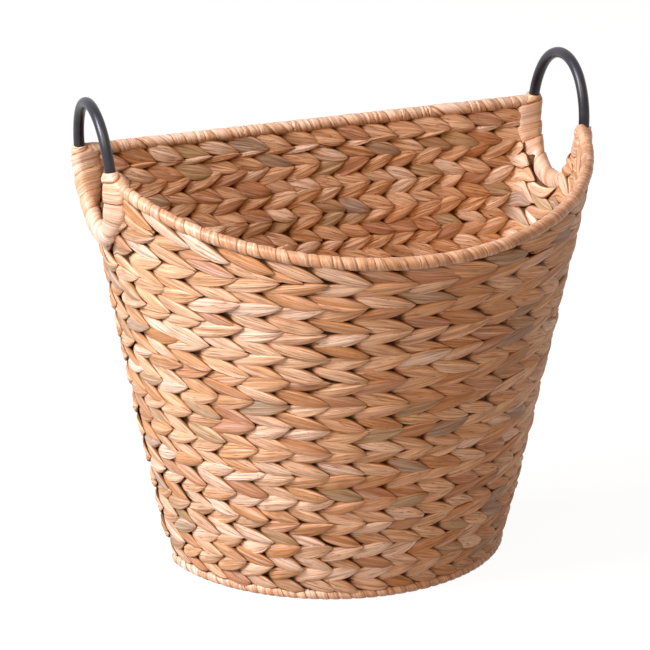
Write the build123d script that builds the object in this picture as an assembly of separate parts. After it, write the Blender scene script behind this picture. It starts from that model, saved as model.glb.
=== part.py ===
from build123d import *
import os
from math import cos, hypot, radians, sin

# A woven laundry basket: a round tapered wall cut flat at the back, open at the top, on a half-round base.
# A wire frame carries courses of twined leaf, and two oval steel hoops at the back corners are the handles.
# Millimetres, +Z up, front towards -Y. Shapes are drawn about the round's centre at the floor and
# moved at the end, so that the origin is under the middle of the whole basket.

# Wall, along the middle of its thickness
BACK_RIM_HEIGHT = 389.0     # floor to the middle of the back rim
FRONT_DIP = 44.0            # the rim is lower than that at the front by this
BASE_RADIUS = 157.5         # round of the wall at the floor
RIM_RADIUS = 229.0          # round of the wall at the back rim's height
FRONT_LEAN = 22.5           # the round's centre comes forward by this from the floor to the back rim
BASE_BACK = 0.5             # flat back behind the round's centre at the floor
RIM_BACK = 70.5             # flat back behind the round's centre at the back rim
CORNER_RADIUS = 18.0        # rounding of the two back corners
WALL = 11.6                 # strand, stake gap and strand together
RIB_DEPTH = 1.4             # how far a course's edges fall back from its middle
WALL_ROWS = 15              # herringbone rows of two courses, below the single course under the rim
ROW_HIDDEN = 7.65           # how much of the top row that single course takes away at the back

# Wire frame
STAKE_DIAMETER = 3.0
STAKE_CLEARANCE = 0.2
FRONT_STAKES = 17           # upright wires round the front, from hoop to hoop
FRONT_STAKE_ANGLE = 74.0    # last front stake, degrees round from the front
SIDE_STAKE_ANGLE = 82.0     # stake under each hoop
BACK_STAKES = 16            # upright wires of the flat back, between the corner stakes
RIM_WIRE = 4.0
BASE_WIRE = 4.0
CROSS_WIRES = 7             # wires under the base, front to back
CROSS_WIRE_PITCH = 40.0

# Bindings of wound leaf
RIM_BINDING = 11.5
BASE_BINDING = 9.5
HOOP_BINDING = 15.0
WIRE_CLEARANCE = 0.2        # wire or tube to the binding wound on it
SEAT = 0.3                  # gap where one piece is set against another
FOOT_FLAT = 0.5             # depth of the flat worn on the base binding's underside

# Handle hoops: an upright oval of round steel tube, leaning out with the wall
HOOP_TUBE = 10.0
HOOP_TUBE_WALL = 1.2
HOOP_HALF_WIDTH = 52.0
HOOP_HALF_HEIGHT = 60.0
HOOP_END_SET = 4.0          # the oval's top and bottom are rounder than its half width by this
HOOP_DROP = 2.0             # the oval's middle is below the back rim's by this
HOOP_INSET = 0.85           # the oval's middle is inside the wall's middle by this
HOOP_BACK_SET = 0.5         # the oval's back edge behind the flat back's middle
HOOP_LEAN = 4.4             # degrees out from upright
HOOP_TWIST = 2.6            # degrees that the oval's front edge turns outwards
WRAP_TOP = 4.0              # the wound leaf ends this far above the oval's middle
HAND_HOLE_INSET = 16.0      # the hand hole is cut in this far from the oval's plane

# Woven base
BASE_STRAND = 2.4
BASE_ROWS = 7

FAR = 2.0 * (RIM_RADIUS + BACK_RIM_HEIGHT)
STRAND_GAP = STAKE_DIAMETER + 2 * STAKE_CLEARANCE
BASE_WIRE_HEIGHT = BASE_BINDING / 2 - FOOT_FLAT
WALL_FOOT = BASE_WIRE_HEIGHT + BASE_BINDING / 2 + SEAT
FRONT_RIM_HEIGHT = BACK_RIM_HEIGHT - FRONT_DIP
HOOP_END_RADIUS = HOOP_HALF_WIDTH - HOOP_END_SET
RIM_COURSE_DROP = RIM_BINDING / 2 + SEAT
COURSE = (BACK_RIM_HEIGHT - RIM_COURSE_DROP - WALL_FOOT + ROW_HIDDEN) / (2 * WALL_ROWS + 1)
ROW = 2 * COURSE


def at_height(z):
    """The wall's round and flat back at one height: centre, radius and back, all along the wall's middle."""
    share = z / BACK_RIM_HEIGHT
    centre = -FRONT_LEAN * share
    radius = BASE_RADIUS + (RIM_RADIUS - BASE_RADIUS) * share
    back = centre + BASE_BACK + (RIM_BACK - BASE_BACK) * share
    return centre, radius, back


def corner(z, offset=0.0):
    """The right back corner's rounding: its centre, its radius, and the points where it starts, turns and ends."""
    centre, radius, back = at_height(z)
    radius, back = radius + offset, back + offset
    rounding = CORNER_RADIUS + offset
    y = back - rounding
    x = ((radius - rounding) ** 2 - (y - centre) ** 2) ** 0.5
    middle = Vector(x, y, z)
    outward = Vector(x, y - centre, 0).normalized()
    turn = (outward + Vector(0, 1, 0)).normalized()
    return middle + Vector(0, rounding, 0), middle + turn * rounding, middle + outward * rounding


def mirrored(point):
    """The same point on the basket's left side."""
    return Vector(-point.X, point.Y, point.Z)


def outline(z, offset=0.0):
    """The wall's outline at one height, moved out by offset: the flat back, two rounded corners and the front."""
    centre, radius, _ = at_height(z)
    start, turn, end = corner(z, offset)
    front = Vector(0, centre - radius - offset, z)
    return Wire([
        Edge.make_line(mirrored(start), start),
        Edge.make_three_point_arc(start, turn, end),
        Edge.make_three_point_arc(end, front, mirrored(end)),
        Edge.make_three_point_arc(mirrored(end), mirrored(turn), mirrored(start)),
    ])


def stack(levels):
    """A solid through outlines, given as (height, offset) from the lowest up."""
    return Solid.make_loft([outline(z, offset) for z, offset in levels], ruled=True)


def course_levels(low, high, edge, middle):
    """Heights and offsets of a ribbed face: edge at each course's two edges, middle half way between."""
    courses = max(1, round((high - low) / COURSE))
    step = (high - low) / courses
    levels = [(low, edge)]
    for i in range(courses):
        levels.append((low + (i + 0.5) * step, middle))
        levels.append((low + (i + 1) * step, edge))
    return levels


def strand_bands(low, high):
    """The outer and the inner strands of the courses between two heights, with the stake gap between them."""
    gap, face = STRAND_GAP / 2, WALL / 2
    outer = stack(course_levels(low, high, face - RIB_DEPTH, face)) - stack([(low, gap), (high, gap)])
    inner = stack([(low, -gap), (high, -gap)]) - stack(course_levels(low, high, RIB_DEPTH - face, -face))
    return [outer, inner]


def rod(start, end, diameter):
    """A round wire from one point to another."""
    along = end - start
    return Solid.make_cylinder(diameter / 2, along.length, Plane(origin=start, z_dir=along))


def tube(path, outer, inner=0.0):
    """A round section, hollow where inner is given, carried along a path of lines and tangent arcs."""
    plane = Plane(origin=path @ 0, z_dir=path % 0)
    section = Circle(outer / 2)
    if inner:
        section -= Circle(inner / 2)
    return sweep(plane * section, path)


def solids(*shapes):
    """All solids of some shapes, as one list."""
    return [s for shape in shapes for s in shape.solids()]


# Front rim: level from each hoop to the fold line, then falling in one plane to the front
HOOP_Y = at_height(BACK_RIM_HEIGHT)[2] + HOOP_BACK_SET - HOOP_HALF_WIDTH
HOOP_HEIGHT = BACK_RIM_HEIGHT - HOOP_DROP
RIM_FOLD = HOOP_Y - HOOP_HALF_WIDTH
FRONT_CENTRE, FRONT_RADIUS, _ = at_height(FRONT_RIM_HEIGHT)
RIM_FRONT = FRONT_CENTRE - FRONT_RADIUS
RIM_SLOPE = (BACK_RIM_HEIGHT - FRONT_RIM_HEIGHT) / (RIM_FOLD - RIM_FRONT)


def rim_height(y):
    """Height of the rim's middle at a distance behind the round's centre."""
    return BACK_RIM_HEIGHT - RIM_SLOPE * max(0.0, RIM_FOLD - y)


def wall_point(angle, share):
    """Point on the wall's middle, an angle round from the front, at a share of the back rim's height."""
    centre, radius, _ = at_height(share * BACK_RIM_HEIGHT)
    a = radians(angle)
    return Vector(radius * sin(a), centre - radius * cos(a), share * BACK_RIM_HEIGHT)


def rim_point(angle):
    """Point where the wall's middle meets the rim's sloping plane, an angle round from the front."""
    low, high = wall_point(angle, 0), wall_point(angle, 1)
    share = (BACK_RIM_HEIGHT - RIM_SLOPE * (RIM_FOLD - low.Y)) / (BACK_RIM_HEIGHT - RIM_SLOPE * (high.Y - low.Y))
    return low + (high - low) * share


def under_rim(drop):
    """Everything lower than the rim's middle by drop or more."""
    front, back = -FAR, FAR
    points = [
        (back, -FAR), (back, BACK_RIM_HEIGHT - drop), (RIM_FOLD, BACK_RIM_HEIGHT - drop),
        (front, rim_height(front) - drop), (front, -FAR - RIM_SLOPE * FAR),
    ]
    face = Face(Wire.make_polygon([Vector(-FAR, y, z) for y, z in points]))
    return Solid.extrude(face, Vector(2 * FAR, 0, 0))


# Handle hoop: four tangent arcs in a plane that leans and turns with the wall
SIDE_CENTRE, SIDE_RADIUS, _ = at_height(HOOP_HEIGHT)
HOOP_REACH = (SIDE_RADIUS ** 2 - (HOOP_Y - SIDE_CENTRE) ** 2) ** 0.5 - HOOP_INSET


def hoop_plane(side):
    """The hoop's plane: x runs to the back, y runs up, on the right (1) or left (-1) of the basket."""
    lean, twist = radians(HOOP_LEAN), radians(HOOP_TWIST)
    to_back = Vector(-side * sin(twist), cos(twist), 0)
    upright = Vector(side * sin(lean), 0, cos(lean))
    normal = to_back.cross(upright).normalized()
    return Plane(origin=(side * HOOP_REACH, HOOP_Y, HOOP_HEIGHT), x_dir=to_back, z_dir=normal)


def oval(grow=0.0):
    """The hoop's oval as sizes: end radius and centre, side radius and centre, and where the arcs meet."""
    end_offset = HOOP_HALF_HEIGHT - HOOP_END_RADIUS
    side_radius = (HOOP_HALF_WIDTH ** 2 + end_offset ** 2 - HOOP_END_RADIUS ** 2) / (
        2 * (HOOP_HALF_WIDTH - HOOP_END_RADIUS))
    side_offset = side_radius - HOOP_HALF_WIDTH
    reach = hypot(side_offset, end_offset)
    meet = Vector(side_offset, end_offset) * ((side_radius + grow) / reach) - Vector(side_offset, 0)
    return end_offset, side_radius + grow, side_offset, meet


def oval_wire(grow=0.0):
    """The whole oval, moved out by grow, drawn flat about its middle."""
    _, _, _, meet = oval(grow)
    wide, tall = HOOP_HALF_WIDTH + grow, HOOP_HALF_HEIGHT + grow
    x, y = meet.X, meet.Y
    return Wire([
        Edge.make_three_point_arc((x, -y), (wide, 0), (x, y)),
        Edge.make_three_point_arc((x, y), (0, tall), (-x, y)),
        Edge.make_three_point_arc((-x, y), (-wide, 0), (-x, -y)),
        Edge.make_three_point_arc((-x, -y), (0, -tall), (x, -y)),
    ])


def wrapped_path():
    """The oval's lower part, from one end of its wound leaf round the bottom to the other."""
    _, side_radius, side_offset, meet = oval()
    x, y = meet.X, meet.Y

    def side_point(height):
        return (side_radius ** 2 - height ** 2) ** 0.5 - side_offset

    top, half_way = WRAP_TOP, (WRAP_TOP - y) / 2
    return Wire([
        Edge.make_three_point_arc((side_point(top), top), (side_point(half_way), half_way), (x, -y)),
        Edge.make_three_point_arc((x, -y), (0, -HOOP_HALF_HEIGHT), (-x, -y)),
        Edge.make_three_point_arc((-x, -y), (-side_point(half_way), half_way), (-side_point(top), top)),
    ])


def hand_hole(side):
    """The space that the hoop and its wound leaf take out of the wall."""
    face = Face(oval_wire(HOOP_BINDING / 2 + SEAT))
    inward = -side * hoop_plane(side).z_dir.X
    low, high = (-HAND_HOLE_INSET, FAR) if inward < 0 else (-FAR, HAND_HOLE_INSET)
    block = Solid.extrude(face, Vector(0, 0, high - low)).moved(Location((0, 0, low)))
    return hoop_plane(side).location * block


pieces = {}
RIGHT, LEFT = 1, -1
SIDES = {"right": RIGHT, "left": LEFT}

# Hoops and the leaf wound on them
for name, side in SIDES.items():
    place = hoop_plane(side).location
    pieces[f"{name}_handle_hoop"] = solids(
        place * tube(oval_wire(), HOOP_TUBE, HOOP_TUBE - 2 * HOOP_TUBE_WALL))
    pieces[f"{name}_hoop_binding"] = solids(
        place * tube(wrapped_path(), HOOP_BINDING, HOOP_TUBE + 2 * WIRE_CLEARANCE))

# Back rim: a straight wire and its binding, between the hoops' back edges
back_y = at_height(BACK_RIM_HEIGHT)[2]
back_end = HOOP_REACH - HOOP_HALF_WIDTH * sin(radians(HOOP_TWIST)) - HOOP_BINDING / 2 - SEAT
back_line = Wire([Edge.make_line((-back_end, back_y, BACK_RIM_HEIGHT), (back_end, back_y, BACK_RIM_HEIGHT))])
pieces["back_rim_wire"] = solids(tube(back_line, RIM_WIRE))
pieces["back_rim_binding"] = solids(tube(back_line, RIM_BINDING, RIM_WIRE + 2 * WIRE_CLEARANCE))


# Front rim: two tangent arcs each way from the middle of the front, in the sloping plane
def front_rim_path():
    """The rim's middle from the right hoop round the front to the left hoop."""
    end_y = RIM_FOLD - HOOP_BINDING / 2 - SEAT
    last = SIDE_STAKE_ANGLE
    step = last / 2
    while step > 1e-4:
        if rim_point(last).Y > end_y:
            last -= step
        else:
            last += step
        step /= 2
    front, half_way, end = rim_point(0), rim_point(last / 2), rim_point(last)
    near = Edge.make_tangent_arc(front, Vector(1, 0, 0), half_way)
    far = Edge.make_tangent_arc(half_way, near % 1, end)
    right = Wire([near, far])
    return Wire(right.edges() + [e.mirror(Plane.YZ) for e in right.edges()])


front_line = front_rim_path()
pieces["front_rim_wire"] = solids(tube(front_line, RIM_WIRE))
pieces["front_rim_binding"] = solids(tube(front_line, RIM_BINDING, RIM_WIRE + 2 * WIRE_CLEARANCE))

# Base ring: a half-round wire and its binding, flat underneath where the basket stands
ring_line = outline(BASE_WIRE_HEIGHT)
pieces["base_ring_wire"] = solids(tube(ring_line, BASE_WIRE))
above_floor = Pos(0, 0, FAR / 2) * Box(2 * FAR, 2 * FAR, FAR)
pieces["base_binding"] = solids(tube(ring_line, BASE_BINDING, BASE_WIRE + 2 * WIRE_CLEARANCE) & above_floor)

# Stakes: straight wires from the base binding up to the rim binding
stake_foot = WALL_FOOT / BACK_RIM_HEIGHT


def stake_to_rim(angle):
    """A front stake's top, just under the rim's binding."""
    low, top = wall_point(angle, 0), rim_point(angle)
    return top - (top - low).normalized() * (RIM_BINDING / 2 + STAKE_CLEARANCE)


front_angles = [FRONT_STAKE_ANGLE * (2 * i / (FRONT_STAKES - 1) - 1) for i in range(FRONT_STAKES)]
pieces["front_stakes"] = [rod(wall_point(a, stake_foot), stake_to_rim(a), STAKE_DIAMETER) for a in front_angles]

under_hoop = (HOOP_HEIGHT - HOOP_HALF_HEIGHT - HOOP_BINDING / 2 - SEAT) / BACK_RIM_HEIGHT
pieces["side_stakes"] = [
    rod(wall_point(side * SIDE_STAKE_ANGLE, stake_foot), wall_point(side * SIDE_STAKE_ANGLE, under_hoop),
        STAKE_DIAMETER) for side in SIDES.values()]

stake_top = BACK_RIM_HEIGHT - RIM_BINDING / 2 - STAKE_CLEARANCE
turns = [corner(z)[1] for z in (WALL_FOOT, (WALL_FOOT + stake_top) / 2, stake_top)]
corner_line = Wire([Edge.make_three_point_arc(*turns)])
corner_stake = tube(corner_line, STAKE_DIAMETER)
pieces["corner_stakes"] = solids(corner_stake, corner_stake.mirror(Plane.YZ))


def back_stake(share):
    """A stake of the flat back, at a share of its width from the middle."""
    low, high = corner(WALL_FOOT)[0], corner(stake_top)[0]
    return rod(Vector(low.X * share, low.Y, low.Z), Vector(high.X * share, high.Y, high.Z), STAKE_DIAMETER)


pieces["back_stakes"] = [back_stake(2 * (i + 0.5) / BACK_STAKES - 1) for i in range(BACK_STAKES)]

# Woven base: cross wires between an upper and a lower layer of leaf, inside the base binding
base_edge = BASE_BINDING / 2 + SEAT
base_centre, base_round, base_back = at_height(BASE_WIRE_HEIGHT)
base_round, base_back = base_round - base_edge, base_back - base_edge


def cross_wire(x):
    """A wire under the base, from the binding at the front to the binding at the back."""
    edge = abs(x) + STAKE_DIAMETER / 2
    front = Vector(x, base_centre - (base_round ** 2 - edge ** 2) ** 0.5, BASE_WIRE_HEIGHT)
    return rod(front, Vector(x, base_back, BASE_WIRE_HEIGHT), STAKE_DIAMETER)


pieces["base_cross_wires"] = [cross_wire(CROSS_WIRE_PITCH * (i - (CROSS_WIRES - 1) / 2)) for i in range(CROSS_WIRES)]

base_face = Face(outline(BASE_WIRE_HEIGHT, -base_edge))
row_depth = (base_back - base_centre + base_round) / BASE_ROWS
layer = STRAND_GAP / 2
for i in range(BASE_ROWS):
    strip = Pos(0, base_back - (i + 0.5) * row_depth, BASE_WIRE_HEIGHT) * Box(FAR, row_depth, BASE_BINDING)
    upper = Solid.extrude(base_face.moved(Location((0, 0, layer))), Vector(0, 0, BASE_STRAND))
    lower = Solid.extrude(base_face.moved(Location((0, 0, -layer))), Vector(0, 0, -BASE_STRAND))
    pieces[f"base_row_{i + 1}"] = solids(upper & strip, lower & strip)

# Woven wall: herringbone rows up to the rim course, cut by the sloping rim and by the hand holes
holes = [hand_hole(side) for side in SIDES.values()]
hole_foot = HOOP_HEIGHT - HOOP_HALF_HEIGHT - HOOP_BINDING / 2 - SEAT
rows_drop = RIM_COURSE_DROP + COURSE
below_rim_course = under_rim(rows_drop)
MIDDLE_OF_SIDE = HOOP_Y


def cut_for_hoops(bands):
    """Strand bands with the hoops' spaces taken out, as separate solids."""
    for hole in holes:
        bands = [s for band in bands for s in solids(band - hole)]
    return bands


def add_upper(kind, bands):
    """Bands above the hand holes' feet: the flat back's are one piece and the front's another."""
    pieces[f"back_{kind}"] = [s for s in bands if s.center().Y > MIDDLE_OF_SIDE]
    pieces[f"front_{kind}"] = [s for s in bands if s.center().Y <= MIDDLE_OF_SIDE]


for i in range(WALL_ROWS):
    low = WALL_FOOT + i * ROW
    high = low + ROW
    bands = strand_bands(low, high)
    if high > FRONT_RIM_HEIGHT - rows_drop - ROW:
        bands = [s for band in bands for s in solids(band & below_rim_course)]
    if high > hole_foot:
        bands = cut_for_hoops(bands)
    if low > hole_foot:
        add_upper(f"row_{i + 1:02d}", bands)
    else:
        pieces[f"woven_row_{i + 1:02d}"] = bands

rim_bands = strand_bands(FRONT_RIM_HEIGHT - rows_drop - ROW, BACK_RIM_HEIGHT)
rim_zone = under_rim(RIM_COURSE_DROP) - below_rim_course
rim_bands = [s for band in rim_bands for s in solids(band & rim_zone)]
add_upper("rim_course", cut_for_hoops(rim_bands))

# Origin under the middle of the whole basket
box = Compound([s for group in pieces.values() for s in group]).bounding_box()
to_middle = Location((-(box.min.X + box.max.X) / 2, -(box.min.Y + box.max.Y) / 2, 0))
print("size", [round(v, 2) for v in box.size], "moved back by", round(-to_middle.position.Y, 3))

os.makedirs("parts", exist_ok=True)
for name, group in pieces.items():
    group = [s.moved(to_middle) for s in group]
    export_step(group[0] if len(group) == 1 else Compound(group), f"parts/{name}.step")
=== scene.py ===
"""A woven laundry basket: twined leaf on a wire frame, with two black tube hoops as handles."""
import logging
import math
from dataclasses import dataclass, field, replace
from enum import Enum
from typing import Callable, Iterator

import bpy
import numpy as np
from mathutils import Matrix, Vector


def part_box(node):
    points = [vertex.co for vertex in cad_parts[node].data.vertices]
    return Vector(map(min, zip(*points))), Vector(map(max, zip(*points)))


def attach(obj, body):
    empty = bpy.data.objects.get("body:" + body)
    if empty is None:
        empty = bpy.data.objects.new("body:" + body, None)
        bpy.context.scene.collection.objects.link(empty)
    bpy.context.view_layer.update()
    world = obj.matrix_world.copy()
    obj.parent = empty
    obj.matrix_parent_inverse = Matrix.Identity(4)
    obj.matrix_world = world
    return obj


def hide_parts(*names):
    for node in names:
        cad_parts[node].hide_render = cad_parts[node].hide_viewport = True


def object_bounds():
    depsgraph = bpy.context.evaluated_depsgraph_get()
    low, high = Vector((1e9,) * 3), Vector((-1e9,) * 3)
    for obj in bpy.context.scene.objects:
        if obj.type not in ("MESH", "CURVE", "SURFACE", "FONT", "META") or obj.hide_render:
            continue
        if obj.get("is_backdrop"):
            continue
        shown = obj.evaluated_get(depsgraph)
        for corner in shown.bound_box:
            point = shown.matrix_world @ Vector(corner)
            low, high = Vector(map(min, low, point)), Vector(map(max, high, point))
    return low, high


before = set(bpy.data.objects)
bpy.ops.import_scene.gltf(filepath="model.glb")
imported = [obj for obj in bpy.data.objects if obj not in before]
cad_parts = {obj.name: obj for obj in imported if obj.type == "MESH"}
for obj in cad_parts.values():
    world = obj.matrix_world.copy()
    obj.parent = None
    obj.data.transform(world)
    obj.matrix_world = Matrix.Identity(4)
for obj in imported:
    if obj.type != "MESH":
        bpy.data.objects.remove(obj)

log = logging.getLogger("basket")

Array = np.ndarray
Rng = np.random.Generator
Material = bpy.types.Material
Socket = bpy.types.NodeSocket
Span = tuple[float, float]
Colour = tuple[float, float, float]
Stops = tuple[tuple[float, Colour], ...]
Frames = tuple[Array, Array, Array, Array]
Place = Callable[[Array, Array], Frames]
Along = Callable[[Array], Array]

UP = np.array([0.0, 0.0, 1.0])
BACKDROP_RAYS = ("Is Camera Ray", "Is Glossy Ray", "Is Transmission Ray")


class Slot(Enum):
    """The record's material slots that are leaf."""

    WOVEN = "woven_leaf"
    WOUND = "wound_leaf"


class Side(Enum):
    """The basket's two sides, as the sign of x."""

    RIGHT = 1
    LEFT = -1

    @property
    def word(self) -> str:
        """The side's name as the nodes have it."""
        return self.name.lower()


class Lie(Enum):
    """Which way a course's leaves lie, going to the right on the outside."""

    FALLING = -1
    RISING = 1


class Face(Enum):
    """The wall's two faces, as the sign of the way out."""

    OUTSIDE = 1
    INSIDE = -1


def unit(v: Array) -> Array:
    """Vectors scaled to length 1."""
    return v / np.linalg.norm(v, axis=-1, keepdims=True)


def ease(low: float, high: float, x: Array) -> Array:
    """A smooth step from 0 at low to 1 at high."""
    s = np.clip((x - low) / (high - low), 0.0, 1.0)
    return s * s * (3.0 - 2.0 * s)


def steady(value: float) -> Along:
    """The same value at every place."""
    return lambda t: np.full_like(t, value)


def round_angles(count: int) -> Array:
    """Evenly spaced angles all the way round."""
    return 2 * math.pi * np.arange(count) / count


def distances(points: Array) -> Array:
    """How far along a line each of its points is."""
    return np.concatenate([[0.0], np.cumsum(np.linalg.norm(np.diff(points, axis=0), axis=-1))])


def offset(points: Array, out: Array, outward: Array, up: Array, upward: Array) -> Array:
    """Rings of points round a line, set off from it outward and upward."""
    return points[:, None, :] + outward[..., None] * out[:, None, :] + upward[..., None] * up[:, None, :]


def seen_by(tree: bpy.types.NodeTree, rays: tuple[str, ...]) -> Socket:
    """1 for rays of some kinds and 0 for all others.

    Args:
        tree: The node tree to add to.
        rays: The kinds of ray, by the names of their sockets.

    Returns:
        The value.
    """
    path = tree.nodes.new("ShaderNodeLightPath")
    seen = path.outputs[rays[0]]
    for ray in rays[1:]:
        either = tree.nodes.new("ShaderNodeMath")
        either.operation = "MAXIMUM"
        tree.links.new(seen, either.inputs[0])
        tree.links.new(path.outputs[ray], either.inputs[1])
        seen = either.outputs[0]
    return seen


@dataclass
class Strand:
    """Rings of points along one leaf or winding, with what its finish needs at each point.

    Attributes:
        points: Rings by points by 3, in metres.
        tone: Which of the finish's colours each point has, from 0 to 1.
        proud: 1 on the face of a leaf, 0 deep in a seam; the finish paints shade by it.
        grain: Coordinates that the fibres follow.
        closed: Whether the last ring joins the first.
    """

    points: Array
    tone: Array
    proud: Array
    grain: Array
    closed: bool = False

    @property
    def segments(self) -> int:
        """Stretches from one ring to the next."""
        return self.points.shape[0] - (not self.closed)

    def stand_on_floor(self) -> None:
        """Flatten what would reach below the floor."""
        self.points[..., 2] = np.maximum(self.points[..., 2], 0.0)


@dataclass
class Weave:
    """Strands gathered into one piece of the basket.

    Attributes:
        name: The piece's name.
        nodes: The frame's nodes that it stands for.
        slot: The material slot that it belongs to.
        strands: What it is made of.
        margin: Room above and below a strip of the bake, as a share of the strip.
        side_margin: Room beside the strips, as a share of the whole.
    """

    name: str
    nodes: list[str]
    slot: Slot
    strands: list[Strand] = field(default_factory=list)
    margin: float = 0.03
    side_margin: float = 0.001

    def quads(self, strand: Strand, first: int) -> Array:
        """The strand's faces as vertex numbers, segment by segment.

        Args:
            strand: The strand to cover.
            first: The number of its first vertex.

        Returns:
            Segments by faces round the section by 4.
        """
        rings, around = strand.points.shape[:2]
        segment = np.arange(strand.segments)[:, None]
        here, there = segment * around, (segment + 1) % rings * around
        j = np.arange(around)[None, :]
        k = (j + 1) % around
        return first + np.stack([here + j, here + k, there + k, there + j], axis=-1)

    def strips(self, strand: Strand, per_strip: int, done: int, bands: int) -> Array:
        """Places of the faces' corners in the bake, as strips of the strands one above the other.

        Args:
            strand: The strand to lay out.
            per_strip: Segments in one strip.
            done: Segments of the strands before it.
            bands: How many strips the whole piece has.

        Returns:
            Segments by faces round the section by 4 by 2.
        """
        around = strand.points.shape[1]
        inner = 1.0 - 2 * self.margin
        i = done + np.arange(strand.segments)[:, None] + np.zeros(around)[None, :]
        j = np.arange(around)[None, :] + np.zeros(strand.segments)[:, None]
        low_u = (i % per_strip) / per_strip
        high_u = low_u + 1.0 / per_strip
        low_v = (i // per_strip + self.margin + inner * j / around) / bands
        high_v = low_v + inner / around / bands
        u = np.stack([low_u, low_u, high_u, high_u], axis=-1)
        v = np.stack([low_v, high_v, high_v, low_v], axis=-1)
        return np.stack([u * (1.0 - 2 * self.side_margin) + self.side_margin, v], axis=-1)

    def layout(self) -> tuple[int, int]:
        """Strips of the bake in which a face is about as wide as it is long.

        Returns:
            How many segments one strip has, and how many strips there are.
        """
        first = self.strands[0].points
        total = sum(strand.segments for strand in self.strands)
        step = np.linalg.norm(first[1:].mean(1) - first[:-1].mean(1), axis=-1).mean()
        girth = np.linalg.norm(first - np.roll(first, 1, axis=1), axis=-1).sum(1).mean()
        per_strip = max(8, int(math.sqrt(total * girth / step)))
        return per_strip, math.ceil(total / per_strip)

    def mesh(self) -> bpy.types.Mesh:
        """All the strands in one mesh, with their places in the bake.

        Returns:
            The mesh, with smooth faces.
        """
        per_strip, bands = self.layout()
        corners, places, caps = [], [], []
        start, done = 0, 0
        for strand in self.strands:
            rings, around = strand.points.shape[:2]
            corners.append(self.quads(strand, start).reshape(-1, 4))
            places.append(self.strips(strand, per_strip, done, bands).reshape(-1, 2))
            if not strand.closed:
                caps.append(np.arange(around)[::-1] + start)
                caps.append(np.arange(around) + start + (rings - 1) * around)
            start += rings * around
            done += strand.segments
        loops = np.concatenate([np.concatenate(corners).ravel(), *caps]).astype(np.int32)
        quads = sum(len(c) for c in corners)
        sizes = np.concatenate([np.full(quads, 4), np.array([len(c) for c in caps], dtype=int)])
        firsts = np.concatenate([[0], np.cumsum(sizes)[:-1]]).astype(np.int32)
        cap_places = np.full((sum(len(c) for c in caps), 2), self.side_margin / 2)
        points = np.concatenate([strand.points.reshape(-1, 3) for strand in self.strands])
        mesh = bpy.data.meshes.new(self.name)
        mesh.vertices.add(start)
        mesh.vertices.foreach_set("co", points.ravel())
        mesh.loops.add(len(loops))
        mesh.loops.foreach_set("vertex_index", loops)
        mesh.polygons.add(len(sizes))
        mesh.polygons.foreach_set("loop_start", firsts)
        mesh.update(calc_edges=True)
        mesh.validate()
        mesh.polygons.foreach_set("use_smooth", np.ones(len(mesh.polygons), dtype=bool))
        layer = mesh.uv_layers.new(name="OFBake")
        layer.data.foreach_set("uv", np.concatenate([*places, cap_places]).astype(np.float32).ravel())
        return mesh

    def store(self, mesh: bpy.types.Mesh) -> None:
        """Keep on the mesh what the finish needs.

        Args:
            mesh: The piece's mesh.
        """
        for name in ("tone", "proud"):
            values = np.concatenate([getattr(s, name).ravel() for s in self.strands]).astype(np.float32)
            mesh.attributes.new(name, "FLOAT", "POINT").data.foreach_set("value", values)
        grain = np.concatenate([s.grain.reshape(-1, 3) for s in self.strands]).astype(np.float32)
        mesh.attributes.new("grain", "FLOAT_VECTOR", "POINT").data.foreach_set("vector", grain.ravel())

    def build(self, material: Material) -> None:
        """Make the piece, dress it and hang it on the frame.

        Args:
            material: The leaf that it is made of.
        """
        mesh = self.mesh()
        self.store(mesh)
        piece = bpy.data.objects.new(self.name, mesh)
        bpy.context.scene.collection.objects.link(piece)
        mesh.materials.append(material)
        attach(piece, "root")
        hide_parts(*self.nodes)
        log.info("%s: %d faces", self.name, len(mesh.polygons))


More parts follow.
